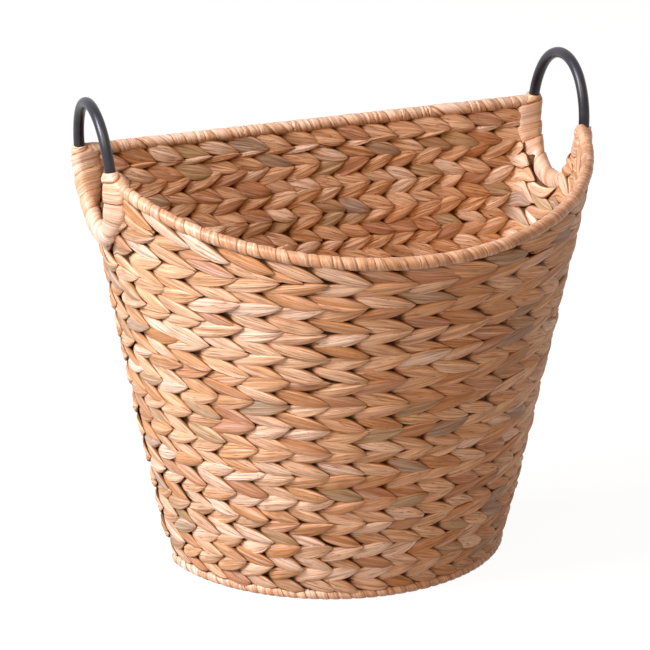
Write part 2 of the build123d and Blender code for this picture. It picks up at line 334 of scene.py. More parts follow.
class Nodes:
    """A material's node tree, with short ways to add to it."""

    def __init__(self, name: str) -> None:
        """Start a material with a principled shader.

        Args:
            name: The material's name.
        """
        self.material = bpy.data.materials.new(name)
        self.material.use_nodes = True
        self.tree = self.material.node_tree
        self.shader = self.tree.nodes["Principled BSDF"]

    def add(self, kind: str, **settings: object) -> bpy.types.Node:
        """Add a node and set its properties.

        Args:
            kind: The kind of node.
            settings: The properties by name.

        Returns:
            The node.
        """
        node = self.tree.nodes.new(kind)
        for key, value in settings.items():
            setattr(node, key, value)
        return node

    def link(self, out: Socket, into: Socket) -> None:
        """Join two sockets."""
        self.tree.links.new(out, into)

    def attribute(self, name: str) -> bpy.types.Node:
        """A value stored on the mesh."""
        return self.add("ShaderNodeAttribute", attribute_name=name)

    def position(self) -> Socket:
        """Coordinates over the whole basket."""
        return self.add("ShaderNodeTexCoord").outputs["Object"]

    def noise(self, where: Socket, scale: float, detail: float) -> Socket:
        """Soft noise over some coordinates.

        Args:
            where: The coordinates.
            scale: How fine it is.
            detail: How much finer noise is laid over it.

        Returns:
            The noise, mostly between 0.2 and 0.8.
        """
        node = self.add("ShaderNodeTexNoise")
        node.inputs["Scale"].default_value = scale
        node.inputs["Detail"].default_value = detail
        self.link(where, node.inputs["Vector"])
        return node.outputs["Fac"]

    def span(self, value: Socket, old: Span, new: Span) -> Socket:
        """A value moved from one range to another, and kept inside it.

        Args:
            value: The value.
            old: The range that it comes from.
            new: The range that it goes to.

        Returns:
            The moved value.
        """
        node = self.add("ShaderNodeMapRange", clamp=True)
        self.link(value, node.inputs["Value"])
        for socket, number in zip(("From Min", "From Max", "To Min", "To Max"), (*old, *new)):
            node.inputs[socket].default_value = number
        return node.outputs["Result"]

    def ramp(self, value: Socket, stops: Stops) -> Socket:
        """A value turned into a colour.

        Args:
            value: The value.
            stops: Values with their colours, from the lowest up.

        Returns:
            The colour.
        """
        node = self.add("ShaderNodeValToRGB")
        elements = node.color_ramp.elements
        while len(elements) < len(stops):
            elements.new(1.0)
        for element, (place, colour) in zip(elements, stops):
            element.position = place
            element.color = (*colour, 1.0)
        self.link(value, node.inputs["Fac"])
        return node.outputs["Color"]

    def shade(self, colour: Socket, amount: Socket) -> Socket:
        """A colour times a value.

        Args:
            colour: The colour.
            amount: The value.

        Returns:
            The shaded colour.
        """
        node = self.add("ShaderNodeMix", data_type="RGBA", blend_type="MULTIPLY", clamp_result=False)
        node.inputs["Factor"].default_value = 1.0
        self.link(colour, node.inputs["A"])
        self.link(amount, node.inputs["B"])
        return node.outputs["Result"]

    def toward(self, colour: Socket, other: Colour, amount: Socket) -> Socket:
        """A colour mixed towards another.

        Args:
            colour: The colour.
            other: The colour to mix in.
            amount: How much of it, from 0 to 1.

        Returns:
            The mixed colour.
        """
        node = self.add("ShaderNodeMix", data_type="RGBA", blend_type="MIX")
        self.link(amount, node.inputs["Factor"])
        self.link(colour, node.inputs["A"])
        node.inputs["B"].default_value = (*other, 1.0)
        return node.outputs["Result"]

    def line(self, value: Socket, width: float) -> Socket:
        """Thin lines where noise passes through its middle.

        Args:
            value: The noise.
            width: How far from its middle the lines reach.

        Returns:
            1 on the lines and 0 away from them.
        """
        off = self.add("ShaderNodeMath", operation="SUBTRACT")
        off.inputs[1].default_value = 0.5
        self.link(value, off.inputs[0])
        away = self.add("ShaderNodeMath", operation="ABSOLUTE")
        self.link(off.outputs[0], away.inputs[0])
        return self.span(away.outputs[0], (0.0, width), (1.0, 0.0))

    def less(self, value: Socket, other: Socket, share: float) -> Socket:
        """A value less a share of another.

        Args:
            value: The value.
            other: The value to take from it.
            share: How much of that.

        Returns:
            What is left.
        """
        node = self.add("ShaderNodeMath", operation="MULTIPLY_ADD")
        self.link(other, node.inputs[0])
        node.inputs[1].default_value = -share
        self.link(value, node.inputs[2])
        return node.outputs[0]

    def bump(self, height: Socket, strength: float, depth: float) -> None:
        """Give the shader relief.

        Args:
            height: The height, from 0 to 1.
            strength: How strongly it shows.
            depth: How deep it is, in metres.
        """
        node = self.add("ShaderNodeBump")
        node.inputs["Strength"].default_value = strength
        node.inputs["Distance"].default_value = depth
        self.link(height, node.inputs["Height"])
        self.link(node.outputs["Normal"], self.shader.inputs["Normal"])


@dataclass(frozen=True)
class LeafFinish:
    """Dried leaf: a colour for each leaf, fibres along it, stains, and painted shade at the edges, in the
    seams and in the creases.

    Attributes:
        name: The material's name.
        tones: Colours from the palest leaf to the darkest.
        pale: Colour of the bleached streaks.
        edge: Colour towards a leaf's edges and into its seams, partly the leaves' own orange edge and partly
            painted warm shade.
        stain_and_shade: Colour of the brown streaks, patches and flecks, and of the painted shade in the
            seams and creases.
        seam: How much light is left deep in a seam.
        rough: Roughness of the smoothest and the driest fibre.
        shine: How strongly the surface reflects.
        relief: Strength of the fibres' relief.
        relief_depth: Its depth, in metres.
        crease_depth: Depth of the creases, as a share of it.
        crease_width: How broad the creases are.
        fibre_scale: How fine the fibres are, over the grain.
        streak_scale: How fine the streaks are, over the grain.
        crease_scale: How close the creases are, over the grain.
        patch_scale: How fine the patches are, over the basket.
        fleck_scale: How fine the flecks are, over the basket.
    """

    name: str
    tones: Stops
    pale: Colour = (0.90, 0.72, 0.57)
    edge: Colour = (0.64, 0.29, 0.10)
    stain_and_shade: Colour = (0.36, 0.145, 0.045)
    seam: float = 0.18
    rough: Span = (0.42, 0.64)
    shine: float = 0.20
    relief: float = 0.70
    relief_depth: float = 0.0013
    crease_depth: float = 0.45
    crease_width: float = 0.035
    fibre_scale: float = 1.0
    streak_scale: float = 0.42
    crease_scale: float = 0.8
    patch_scale: float = 34.0
    fleck_scale: float = 330.0

    def material(self) -> Material:
        """Make the finish.

        Returns:
            The material.
        """
        n = Nodes(self.name)
        grain = n.attribute("grain").outputs["Vector"]
        proud = n.attribute("proud").outputs["Fac"]
        fibre = n.noise(grain, self.fibre_scale, 4.0)
        streak = n.noise(grain, self.streak_scale, 2.0)
        crease = n.line(n.noise(grain, self.crease_scale, 1.0), self.crease_width)
        where = n.position()
        patch = n.noise(where, self.patch_scale, 4.0)
        fleck = n.noise(where, self.fleck_scale, 2.0)
        colour = n.ramp(n.attribute("tone").outputs["Fac"], self.tones)
        # Each tint, where it lies, and how strong it is from one value there to another.
        for tint, value, old, new in (
            (self.pale, streak, (0.28, 0.52), (0.42, 0.0)),
            (self.stain_and_shade, streak, (0.50, 0.78), (0.0, 0.62)),
            (self.stain_and_shade, patch, (0.52, 0.80), (0.0, 0.45)),
            (self.stain_and_shade, fleck, (0.66, 0.76), (0.0, 0.55)),
            # Partly the leaves' own orange edges, partly painted warm shade at the edges and in the seams.
            (self.edge, proud, (0.55, 1.00), (0.80, 0.0)),
            # Painted shade: towards dark brown deep in the seams and at the edges, where proud is low.
            (self.stain_and_shade, proud, (0.20, 0.80), (0.85, 0.0)),
            # Painted shade along the creases.
            (self.stain_and_shade, crease, (0.0, 1.0), (0.0, 0.80)),
        ):
            colour = n.toward(colour, tint, n.span(value, old, new))
        colour = n.shade(colour, n.span(fibre, (0.25, 0.75), (0.62, 1.22)))
        # Painted shade: darker deep in the seams and at the edges, where proud is low.
        colour = n.shade(colour, n.span(proud, (0.0, 0.8), (self.seam, 1.0)))
        n.link(colour, n.shader.inputs["Base Color"])
        n.link(n.span(fibre, (0.3, 0.7), self.rough), n.shader.inputs["Roughness"])
        n.shader.inputs["Specular IOR Level"].default_value = self.shine
        n.bump(n.less(fibre, crease, self.crease_depth), self.relief, self.relief_depth)
        return n.material


@dataclass(frozen=True)
class CoatFinish:
    """Paint or lacquer on steel, rubbed or dusty in patches.

    Attributes:
        name: The material's name.
        colour: The coat.
        worn: Its colour in the patches.
        wear: Where in the patches' noise the wear starts, and where it is full.
        patch_scale: How fine the patches are.
        rough: Roughness of the smoothest and the dullest place.
        shine: How strongly the surface reflects.
        speck_scale: How fine its relief is.
        speck_detail: How much finer relief is laid over that.
        relief: Strength of the relief.
        relief_depth: Its depth, in metres.
    """

    name: str
    colour: Colour
    worn: Colour
    wear: Span
    patch_scale: float
    rough: Span
    shine: float
    speck_scale: float
    speck_detail: float
    relief: float
    relief_depth: float

    def material(self) -> Material:
        """Make the finish.

        Returns:
            The material.
        """
        n = Nodes(self.name)
        where = n.position()
        patch = n.noise(where, self.patch_scale, 4.0)
        speck = n.noise(where, self.speck_scale, self.speck_detail)
        start, full = self.wear
        n.link(n.ramp(patch, ((start, self.colour), (full, self.worn))), n.shader.inputs["Base Color"])
        n.link(n.span(patch, (0.3, 0.7), self.rough), n.shader.inputs["Roughness"])
        n.shader.inputs["Specular IOR Level"].default_value = self.shine
        n.bump(speck, self.relief, self.relief_depth)
        return n.material


@dataclass(frozen=True)
class WallShape:
    """The wall's middle: a leaning round that is cut flat at the back, with rounded back corners.

    Lengths are in metres. A place along a course is a number of stakes from the left back corner, round the
    front to the right back corner and then along the flat back.

    Attributes:
        back_rim: Height of the rim's middle at the back.
        front_dip: How much lower it is at the front.
        base_radius: The round's radius at the floor.
        rim_radius: Its radius at the rim.
        front_lean: How far the round's centre moves forward from the floor to the rim.
        base_back: How far behind the centre the flat back is at the floor.
        rim_back: How far behind it the flat back is at the rim.
        corner: Radius of the back corners.
        foot: Height of the lowest course's lower edge.
        course: Height of a course.
        rim_binding: Thickness of the rim's binding.
        front_stakes: Stakes round the front.
        back_stakes: Stakes along the flat back.
        foot_tuck: How far the wall is drawn in at the floor.
        tuck_height: Height up to which it is drawn in.
        stake_step: Small step along a course that directions are taken from, in stakes.
        height_step: Small step up the wall that they are taken from.
        rim_rounds: Rounds in which the rim's height is found.
    """

    back_rim: float = 0.389
    front_dip: float = 0.044
    base_radius: float = 0.1575
    rim_radius: float = 0.229
    front_lean: float = 0.0225
    base_back: float = 0.0005
    rim_back: float = 0.0705
    corner: float = 0.018
    foot: float = 0.0093
    course: float = 0.0123
    rim_binding: float = 0.0115
    front_stakes: int = 20
    back_stakes: int = 17
    foot_tuck: float = 0.0055
    tuck_height: float = 0.040
    stake_step: float = 0.01
    height_step: float = 0.001
    rim_rounds: int = 6

    @property
    def stakes(self) -> int:
        """Stakes all the way round."""
        return self.front_stakes + self.back_stakes

    @property
    def centre(self) -> float:
        """How far behind the origin the round's centre is at the floor."""
        low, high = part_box("back_rim_wire")
        return (low.y + high.y) / 2 - (self.rim_back - self.front_lean)

    def section(self, z: Array) -> tuple[Array, Array, Array]:
        """The wall's outline at some heights.

        Args:
            z: The heights.

        Returns:
            The round's centre, its radius, and how far behind the centre the flat back is.
        """
        share = z / self.back_rim
        radius = self.base_radius + (self.rim_radius - self.base_radius) * share
        back = self.base_back + (self.rim_back - self.base_back) * share
        return self.centre - self.front_lean * share, radius, back

    def point(self, t: Array, z: Array) -> Array:
        """Points on the wall's middle.

        Args:
            t: Places along the course, in stakes.
            z: Heights.

        Returns:
            One point per place.
        """
        centre, radius, back = self.section(z)
        r = self.corner
        across = np.sqrt((radius - r) ** 2 - (back - r) ** 2)
        turn = np.arctan2(back - r, across)
        half = r * (math.pi / 2 - turn) / 2
        t = np.mod(t, self.stakes)
        arc = radius * (math.pi + 2 * turn)
        front = t / self.front_stakes * (arc + 2 * half)
        rear = (t - self.front_stakes) / self.back_stakes * (2 * across + 2 * half)
        middle = (turn + math.pi / 2) / 2
        on_front = t < self.front_stakes
        conditions = [
            on_front & (front < half), on_front & (front < half + arc), on_front,
            rear < half, rear < half + 2 * across,
        ]
        left, right = -across, across
        angle = np.select(conditions, [
            math.pi - middle + front / r, math.pi - turn + (front - half) / radius,
            turn + (front - half - arc) / r, middle + rear / r, np.full_like(t, math.pi / 2),
        ], math.pi / 2 + (rear - half - 2 * across) / r)
        on_round = conditions[1] & ~conditions[0]
        on_flat = ~on_front & conditions[4] & ~conditions[3]
        hub_x = np.select(conditions, [left, 0 * t, right, right, across - (rear - half)], left)
        hub_y = np.where(on_round, 0.0, back - r)
        reach = np.where(on_round, radius, r)
        x = hub_x + np.where(on_flat, 0.0, reach * np.cos(angle))
        y = centre + hub_y + np.where(on_flat, r, reach * np.sin(angle))
        return np.stack([x, y, z + 0 * t], axis=-1)

    def frames(self, t: Array, z: Array) -> Frames:
        """Points on the wall with the directions along the course, up the wall and out of it.

        Args:
            t: Places along the course, in stakes.
            z: Heights.

        Returns:
            Points, along, up and out.
        """
        along = unit(self.point(t + self.stake_step, z) - self.point(t - self.stake_step, z))
        rise = self.point(t, z + self.height_step) - self.point(t, z - self.height_step)
        out = unit(np.cross(along, rise))
        tuck = self.foot_tuck * np.clip(1.0 - z / self.tuck_height, 0.0, 1.0) ** 2
        return self.point(t, z) - tuck[:, None] * out, along, np.cross(out, along), out

    def back_panel(self, reach: float) -> Place:
        """The flat back alone, straight on past the corners to the hoops.

        Args:
            reach: Half the width to fill.

        Returns:
            A place like frames.
        """
        def place(t: Array, z: Array) -> Frames:
            """Points across the flat back.

            Args:
                t: Places along the course, in stakes.
                z: Heights.

            Returns:
                Points, along, up and out.
            """
            centre, _, back = self.section(z)
            x = reach * (1.0 - 2.0 * (t - self.front_stakes) / self.back_stakes)
            slope = (self.rim_back - self.base_back - self.front_lean) / self.back_rim
            along = np.broadcast_to([-1.0, 0.0, 0.0], (len(t), 3))
            up = np.broadcast_to(unit(np.array([0.0, slope, 1.0])), (len(t), 3))
            return np.stack([x, centre + back, z + 0 * t], axis=-1), along, up, np.cross(along, up)
        return place

    def fold(self) -> tuple[float, float]:
        """How the rim falls towards the front.

        Returns:
            Where it starts to fall, and its slope from there.
        """
        hoop = HoopShape()
        start = hoop.middle(self).y - hoop.half_width
        low = np.array([self.back_rim - self.front_dip])
        centre, radius, _ = self.section(low)
        return start, self.front_dip / (start - float(centre[0] - radius[0]))

    def rim_height(self, t: Array) -> Array:
        """Height of the rim's middle, found in a few rounds because the wall leans.

        Args:
            t: Places along the rim, in stakes.

        Returns:
            The height at each place.
        """
        start, slope = self.fold()
        z = np.full_like(t, self.back_rim)
        for _ in range(self.rim_rounds):
            z = self.back_rim - slope * np.maximum(0.0, start - self.point(t, z)[:, 1])
        return z


@dataclass(frozen=True)
class HoopShape:
    """A handle hoop's oval of four arcs, and how it stands. Lengths are in metres.

    Attributes:
        half_width: Half the oval's width, to the tube's middle.
        half_height: Half its height.
        end_radius: Radius of its top and bottom.
        drop: How far its middle is below the back rim.
        inset: How far it stands inside the wall's middle.
        back_set: How far its back edge stands behind the flat back.
        lean: How far it leans out.
        twist: How far its back edge is turned in.
        binding: Thickness of its binding.
    """

    half_width: float = 0.052
    half_height: float = 0.060
    end_radius: float = 0.048
    drop: float = 0.002
    inset: float = 0.00085
    back_set: float = 0.0005
    lean: float = math.radians(4.4)
    twist: float = math.radians(2.6)
    binding: float = 0.015

    @property
    def end_offset(self) -> float:
        """From the oval's middle to the centre of its top or bottom arc."""
        return self.half_height - self.end_radius

    @property
    def side_radius(self) -> float:
        """Radius of the oval's two sides."""
        wide, end = self.half_width, self.end_radius
        return (wide ** 2 + self.end_offset ** 2 - end ** 2) / (2 * (wide - end))

    def middle(self, wall: WallShape) -> Vector:
        """The right hoop's middle.

        Args:
            wall: The wall that it stands in.

        Returns:
            The middle of its oval.
        """
        z = np.array([wall.back_rim - self.drop])
        rim_centre, _, rim_back = wall.section(np.array([wall.back_rim]))
        y = float(rim_centre[0] + rim_back[0]) + self.back_set - self.half_width
        centre, radius, _ = wall.section(z)
        x = math.sqrt(float(radius[0]) ** 2 - (y - float(centre[0])) ** 2) - self.inset
        return Vector((x, y, float(z[0])))

    def half_at(self, q: Array) -> Array:
        """Half the oval's width.

        Args:
            q: Heights from its middle.

        Returns:
            The half width at each height.
        """
        side_offset = self.side_radius - self.half_width
        meet = self.side_radius * self.end_offset / math.hypot(side_offset, self.end_offset)
        side = np.sqrt(np.maximum(0.0, self.side_radius ** 2 - q ** 2)) - side_offset
        end = np.sqrt(np.maximum(0.0, self.end_radius ** 2 - (np.abs(q) - self.end_offset) ** 2))
        return np.where(np.abs(q) < meet, side, end)

    def plane(self, wall: WallShape, side: Side) -> tuple[Array, Array, Array, Array]:
        """The plane that a hoop stands in.

        Args:
            wall: The wall that it stands in.
            side: Its side.

        Returns:
            Its middle, and its directions to the back, up and out of its plane.
        """
        s = side.value
        middle = np.array(self.middle(wall)) * (s, 1, 1)
        to_back = np.array([-s * math.sin(self.twist), math.cos(self.twist), 0.0])
        upright = np.array([s * math.sin(self.lean), 0.0, math.cos(self.lean)])
        normal = unit(np.cross(to_back, upright))
        return middle, to_back, np.cross(normal, to_back), normal

    def lower_line(self, step: float, front_top: float, back_top: float) -> Array:
        """The wrapped part of the oval, from its front edge round the bottom to its back edge.

        Args:
            step: Distance between points.
            front_top: How far above the oval's middle it starts at the front.
            back_top: How far above the middle it ends at the back.

        Returns:
            Points in the oval's plane: to the back, and up.
        """
        side_offset = self.side_radius - self.half_width
        meet = math.atan2(self.end_offset, side_offset)
        m = int(self.end_radius * (math.pi - 2 * meet) / step)
        bottom = np.linspace(meet, math.pi - meet, m)[1:-1]
        legs = []
        for top in (front_top, back_top):
            above = math.asin(top / self.side_radius)
            side = np.linspace(-above, meet, int(self.side_radius * (meet + above) / step))
            leg_p = -(self.side_radius * np.cos(side) - side_offset)
            legs.append(np.stack([leg_p, -self.side_radius * np.sin(side)], axis=-1))
        foot = np.stack([
            -self.end_radius * np.cos(bottom), -self.end_offset - self.end_radius * np.sin(bottom)], axis=-1)
        return np.concatenate([legs[0], foot, (legs[1] * (-1.0, 1.0))[::-1]])


@dataclass(frozen=True)
class Track:
    """Where a course runs.

    Attributes:
        place: Gives points and directions on the wall or the base.
        height: The course's middle at some places along it.
        squeeze: The course's height there, as a share of its full height.
        lie: Which way its leaves lie.
    """

    place: Place
    height: Along
    squeeze: Along
    lie: Lie


@dataclass(frozen=True)
class Course:
    """A course's middle line, closely sampled.

    Attributes:
        t: Evenly spaced places along the course, in stakes.
        points: The line's points.
        up: The way up the wall at each point.
        out: The way out of the wall.
        share: The course's height there, as a share of its full height.
        lie: Which way its leaves lie.
    """

    t: Array
    points: Array
    up: Array
    out: Array
    share: Array
    lie: Lie

    @classmethod
    def lay(cls, track: Track, start: float, stop: float, per_stake: int = 32) -> "Course":
        """Sample a track.

        Args:
            track: Where the course runs.
            start: The first place, in stakes.
            stop: The last place.
            per_stake: Samples from one stake to the next.

        Returns:
            The course.
        """
        t = np.linspace(start, stop, max(8, int(per_stake * (stop - start))))
        points, _, up, out = track.place(t, track.height(t))
        return cls(t, points, up, out, track.squeeze(t), track.lie)

    def at(self, t: Array) -> tuple[Array, Array, Array, Array]:
        """The course at some places.

        Args:
            t: Places along it, in stakes.

        Returns:
            Points, the ways up and out, and the share of the full height.
        """
        place = (t - self.t[0]) / (self.t[1] - self.t[0])
        i = np.clip(place.astype(int), 0, len(self.t) - 2)
        w = np.clip(place - i, 0.0, 1.0)
        share = self.share[i] * (1.0 - w) + self.share[i + 1] * w
        w = w[:, None]
        points, up, out = (
            values[i] * (1.0 - w) + values[i + 1] * w for values in (self.points, self.up, self.out))
        return points, up, out, share


@dataclass(frozen=True)
class Variety:
    """How much the leaves differ. Lengths are in metres, and a span is a share of the usual size.

    Attributes:
        length: Span of the lengths.
        width: Span of the widths.
        crown: Span of the bellies' heights.
        climb: Span of the slopes.
        shift: How far a leaf may lie from its stake, in stakes.
        stand: How far out or in it may stand.
        lift: How far up or down it may lie.
        bow: How far its middle may bend up or down.
        roll: How far it may lean about its length, as a slope.
        folds: How many lengthwise folds of each kind lie across half its width.
        fold: Lowest and highest fold.
        fold_turn: How far a fold may wander along the leaf, as an angle.
        grain: Span of the places in the grain.
        tone: Middle and spread of the usual leaves' tones.
        odd: Share of the brown, green and grey leaves.
        odd_tone: Span of their tones.
    """

    length: Span = (0.90, 1.10)
    width: Span = (0.84, 1.16)
    crown: Span = (0.75, 1.2)
    climb: Span = (0.8, 1.2)
    shift: float = 0.07
    stand: float = 0.0005
    lift: float = 0.0008
    bow: float = 0.0009
    roll: float = 0.16
    folds: tuple[float, ...] = (0.7, 1.3, 2.4)
    fold: Span = (0.00005, 0.00040)
    fold_turn: float = 1.2
    grain: Span = (0.0, 50.0)
    tone: Span = (0.41, 0.26)
    odd: float = 0.13
    odd_tone: Span = (0.74, 1.0)


@dataclass(frozen=True)
class Leaf:
    """The twined leaf of a course, as it shows on both faces of the wall. Lengths are in metres.

    A course's two strands change places between the stakes. Each leaf that shows comes out from under
    the point of the one before it, lies over a stake and ends in a point over the start of the next.

    Attributes:
        half_width: Half a leaf's width at its belly.
        crown: How far its belly stands out from its edges.
        seat: How far its edges stand out from the middle of the wall.
        lap: How far its point stands out further than its belly, and its start less.
        rise: How far it climbs or falls from its belly to its point.
        half_length: Half its length, in stakes.
        tip: Half the width that is left at its ends.
        start_curve: The two powers of the outline from the belly to the start.
        point_curve: The two powers of the outline from the belly to the point.
        crown_curve: The two powers of the crown along the leaf.
        face_curve: The powers of the section's face, across and out.
        back: The section's height behind the edges, as a share of the crown.
        fibre: Width of a fibre, which scales the grain across the leaf.
        fibre_run: How far the grain runs along half a leaf.
        show_height: How far out a leaf is in a seam, and how far out it is proud.
        edge_width: How much of the half width is edge, as a share.
        edge_proud: How proud the edge is, where the middle is 1, which darkens the edge as painted shade.
        start_shade: Where a leaf's start comes out from under the leaf before it, and out of the painted
            shade there.
        end_room: How far past a course's end a leaf is narrow, and where it is wide again, in stakes.
        end_width: Its width there, as a share.
        end_reach: How far past a course's end the last stake may be, in stakes.
        ring_lap: How far past its start and end a course all the way round is sampled, in stakes.
        core: Half the thickness of the laps between the two faces.
        core_width: Their width, as a share of a leaf's.
        core_fibre: Width of their fibres.
        core_tone: Their tone, darker than most leaves, which adds painted shade in the gaps.
        core_proud: How proud they are, which is little, because they lie in the shade.
        core_around: Points round their section.
        core_rings: Their sections from one stake to the next.
        around: Points round the section.
        rings: Sections from the start to the point.
        variety: How much the leaves differ.
    """

    half_width: float = 0.0080
    crown: float = 0.0031
    seat: float = 0.0024
    lap: float = 0.0017
    rise: float = 0.0054
    half_length: float = 0.73
    tip: float = 0.0003
    start_curve: Span = (3.6, 0.46)
    point_curve: Span = (2.1, 0.88)
    crown_curve: Span = (3, 0.6)
    face_curve: Span = (0.85, 0.8)
    back: float = 0.45
    fibre: float = 0.0015
    fibre_run: float = 0.6
    show_height: Span = (0.0006, 0.0036)
    edge_width: float = 0.25
    edge_proud: float = 0.30
    start_shade: Span = (-1.1, -0.70)
    end_room: Span = (-0.05, 0.25)
    end_width: float = 0.2
    end_reach: float = 0.35
    ring_lap: float = 2.0
    core: float = 0.0014
    core_width: float = 0.95
    core_fibre: float = 0.0021
    core_tone: float = 0.72
    core_proud: float = 0.12
    core_around: int = 8
    core_rings: int = 4
    around: int = 26
    rings: int = 19
    variety: Variety = Variety()

    def swell(self, s: Array, powers: Span) -> Array:
        """A curve that is 1 at 0 and falls to 0 at -1 and 1, as its two powers say."""
        return (1.0 - np.abs(s) ** powers[0]) ** powers[1]

    def outline(self, s: Array) -> Array:
        """A leaf's width from its start at -1 to its point at 1, as a share of its belly's."""
        return np.where(s < 0.0, self.swell(s, self.start_curve), self.swell(s, self.point_curve))

    def section(self) -> tuple[Array, Array, Array]:
        """A leaf's section: a full face and a flatter back.

        Returns:
            Places across the leaf from -1 to 1, how far each faces out, and the section's height there.
        """
        alpha = round_angles(self.around)
        facing = np.sin(alpha)
        power_across, power_out = self.face_curve
        across = np.sign(np.cos(alpha)) * np.abs(np.cos(alpha)) ** power_across
        height = np.where(facing > 0.0, np.abs(facing) ** power_out, -self.back * np.abs(facing))
        return across, facing, height

    def folds(self, s: Array, across: Array, rng: Rng) -> Array:
        """Lengthwise folds in a leaf.

        Args:
            s: Places from its start to its point.
            across: Places across it.
            rng: The source of the leaves' differences.

        Returns:
            Heights, by place along and across.
        """
        vary = self.variety
        heights = np.zeros((self.rings, self.around))
        for pitch in vary.folds:
            turn = 2 * math.pi * pitch * across[None, :] + rng.uniform(0.0, 6.3)
            turn = turn + rng.uniform(-vary.fold_turn, vary.fold_turn) * s[:, None]
            heights += rng.uniform(*vary.fold) * np.cos(turn)
        return heights

    def tone(self, rng: Rng) -> float:
        """A leaf's tone: a usual one, or now and then an odd one.

        Args:
            rng: The source of the leaves' differences.

        Returns:
            Its place in the finish's colours, from 0 to 1.
        """
        vary = self.variety
        tone = rng.normal(*vary.tone) if rng.uniform() > vary.odd else rng.uniform(*vary.odd_tone)
        return min(1.0, max(0.0, tone))

    def show(self, course: Course, stake: float, face: Face, rng: Rng) -> Strand:
        """Shape one leaf where it shows.

        Args:
            course: The course that it is in.
            stake: The stake that it lies over.
            face: The face of the wall that it shows on.
            rng: The source of the leaves' differences.

        Returns:
            The leaf's surface.
        """
        vary = self.variety
        s = -np.cos(math.pi * np.arange(self.rings) / (self.rings - 1))
        length = self.half_length * rng.uniform(*vary.length)
        t = stake + rng.uniform(-vary.shift, vary.shift) + face.value * s * length
        room = np.minimum(t - course.t[0], course.t[-1] - t)
        wide = self.half_width * rng.uniform(*vary.width) * self.outline(s) + self.tip
        wide = wide * (self.end_width + (1.0 - self.end_width) * ease(*self.end_room, room))
        crown = self.crown * rng.uniform(*vary.crown) * self.swell(s, self.crown_curve)
        middle = self.seat + self.lap * s + rng.uniform(-vary.stand, vary.stand)
        climb = course.lie.value * self.rise * rng.uniform(*vary.climb) * s
        climb = climb + rng.uniform(-vary.lift, vary.lift)
        bow = rng.uniform(-vary.bow, vary.bow) * (1.0 - s * s)
        across, facing, dome = self.section()
        folds = self.folds(s, across, rng) * np.maximum(0.0, facing)[None, :] * (1.0 - s ** 4)[:, None]
        u = wide[:, None] * across[None, :]
        v = crown[:, None] * dome[None, :] + folds
        outward = middle[:, None] + v + u * rng.uniform(-vary.roll, vary.roll)
        points, up, out, share = course.at(np.clip(t, course.t[0], course.t[-1]))
        upward = (climb[:, None] + bow[:, None] + u) * share[:, None]
        grain = np.stack([
            np.broadcast_to((s * self.fibre_run + rng.uniform(*vary.grain))[:, None], u.shape),
            np.broadcast_to(across * self.half_width / self.fibre, u.shape),
            np.broadcast_to(facing * self.fibre_run + rng.uniform(*vary.grain), u.shape),
        ], axis=-1)
        # Painted shade: proud falls at the edges, deep in the seams and where a leaf's start lies under the
        # one before, and the finish darkens there.
        on_face = ease(0.0, self.edge_width, 1.0 - np.abs(across)) * np.where(facing > 0.0, 1.0, 0.0)
        flat_proud = self.edge_proud + (1.0 - self.edge_proud) * on_face[None, :]
        proud = ease(*self.show_height, outward) * flat_proud * ease(*self.start_shade, s)[:, None]
        surface = offset(points, out, face.value * outward, up, upward)
        return Strand(surface, np.full(u.shape, self.tone(rng)), proud, grain)

    def laps(self, course: Course, t: Array, closed: bool) -> Strand:
        """The inner laps of leaf between the two faces, seen only where the leaves leave a gap.

        Args:
            course: The course that they are in.
            t: Places along it.
            closed: Whether the course runs all the way round.

        Returns:
            The surface of the laps.
        """
        alpha = round_angles(self.core_around)
        points, up, out, share = course.at(t)
        upward = self.core_width * self.half_width * np.cos(alpha)[None, :] * share[:, None]
        surface = offset(points, out, self.core * np.sin(alpha)[None, :], up, upward)
        flat = np.zeros(surface.shape[:2])
        grain = np.stack([flat + t[:, None], upward / self.core_fibre, flat], axis=-1)
        return Strand(surface, flat + self.core_tone, flat + self.core_proud, grain, closed)

    def leaves(self, course: Course, stakes: range, rng: Rng) -> list[Strand]:
        """A course's leaves on both faces, stake by stake."""
        return [self.show(course, stake, face, rng) for stake in stakes for face in Face]

    def ring(self, track: Track, stakes: int, rng: Rng) -> list[Strand]:
        """A course all the way round.

        Args:
            track: Where it runs.
            stakes: Stakes all the way round.
            rng: The source of the leaves' differences.

        Returns:
            Its leaves and its inner laps.
        """
        course = Course.lay(track, -self.ring_lap, stakes + self.ring_lap)
        t = np.arange(self.core_rings * stakes) / self.core_rings
        return self.leaves(course, range(stakes), rng) + [self.laps(course, t, True)]

    def run(self, track: Track, start: float, stop: float, rng: Rng) -> list[Strand]:
        """A course from one place to another.

        Args:
            track: Where it runs.
            start: The first place, in stakes.
            stop: The last place.
            rng: The source of the leaves' differences.

        Returns:
            Its leaves and its inner laps.
        """
        course = Course.lay(track, start, stop)
        stakes = range(math.ceil(start - self.end_reach), math.floor(stop + self.end_reach) + 1)
        t = np.linspace(start, stop, max(4, int(self.core_rings * (stop - start))))
        return self.leaves(course, stakes, rng) + [self.laps(course, t, False)]


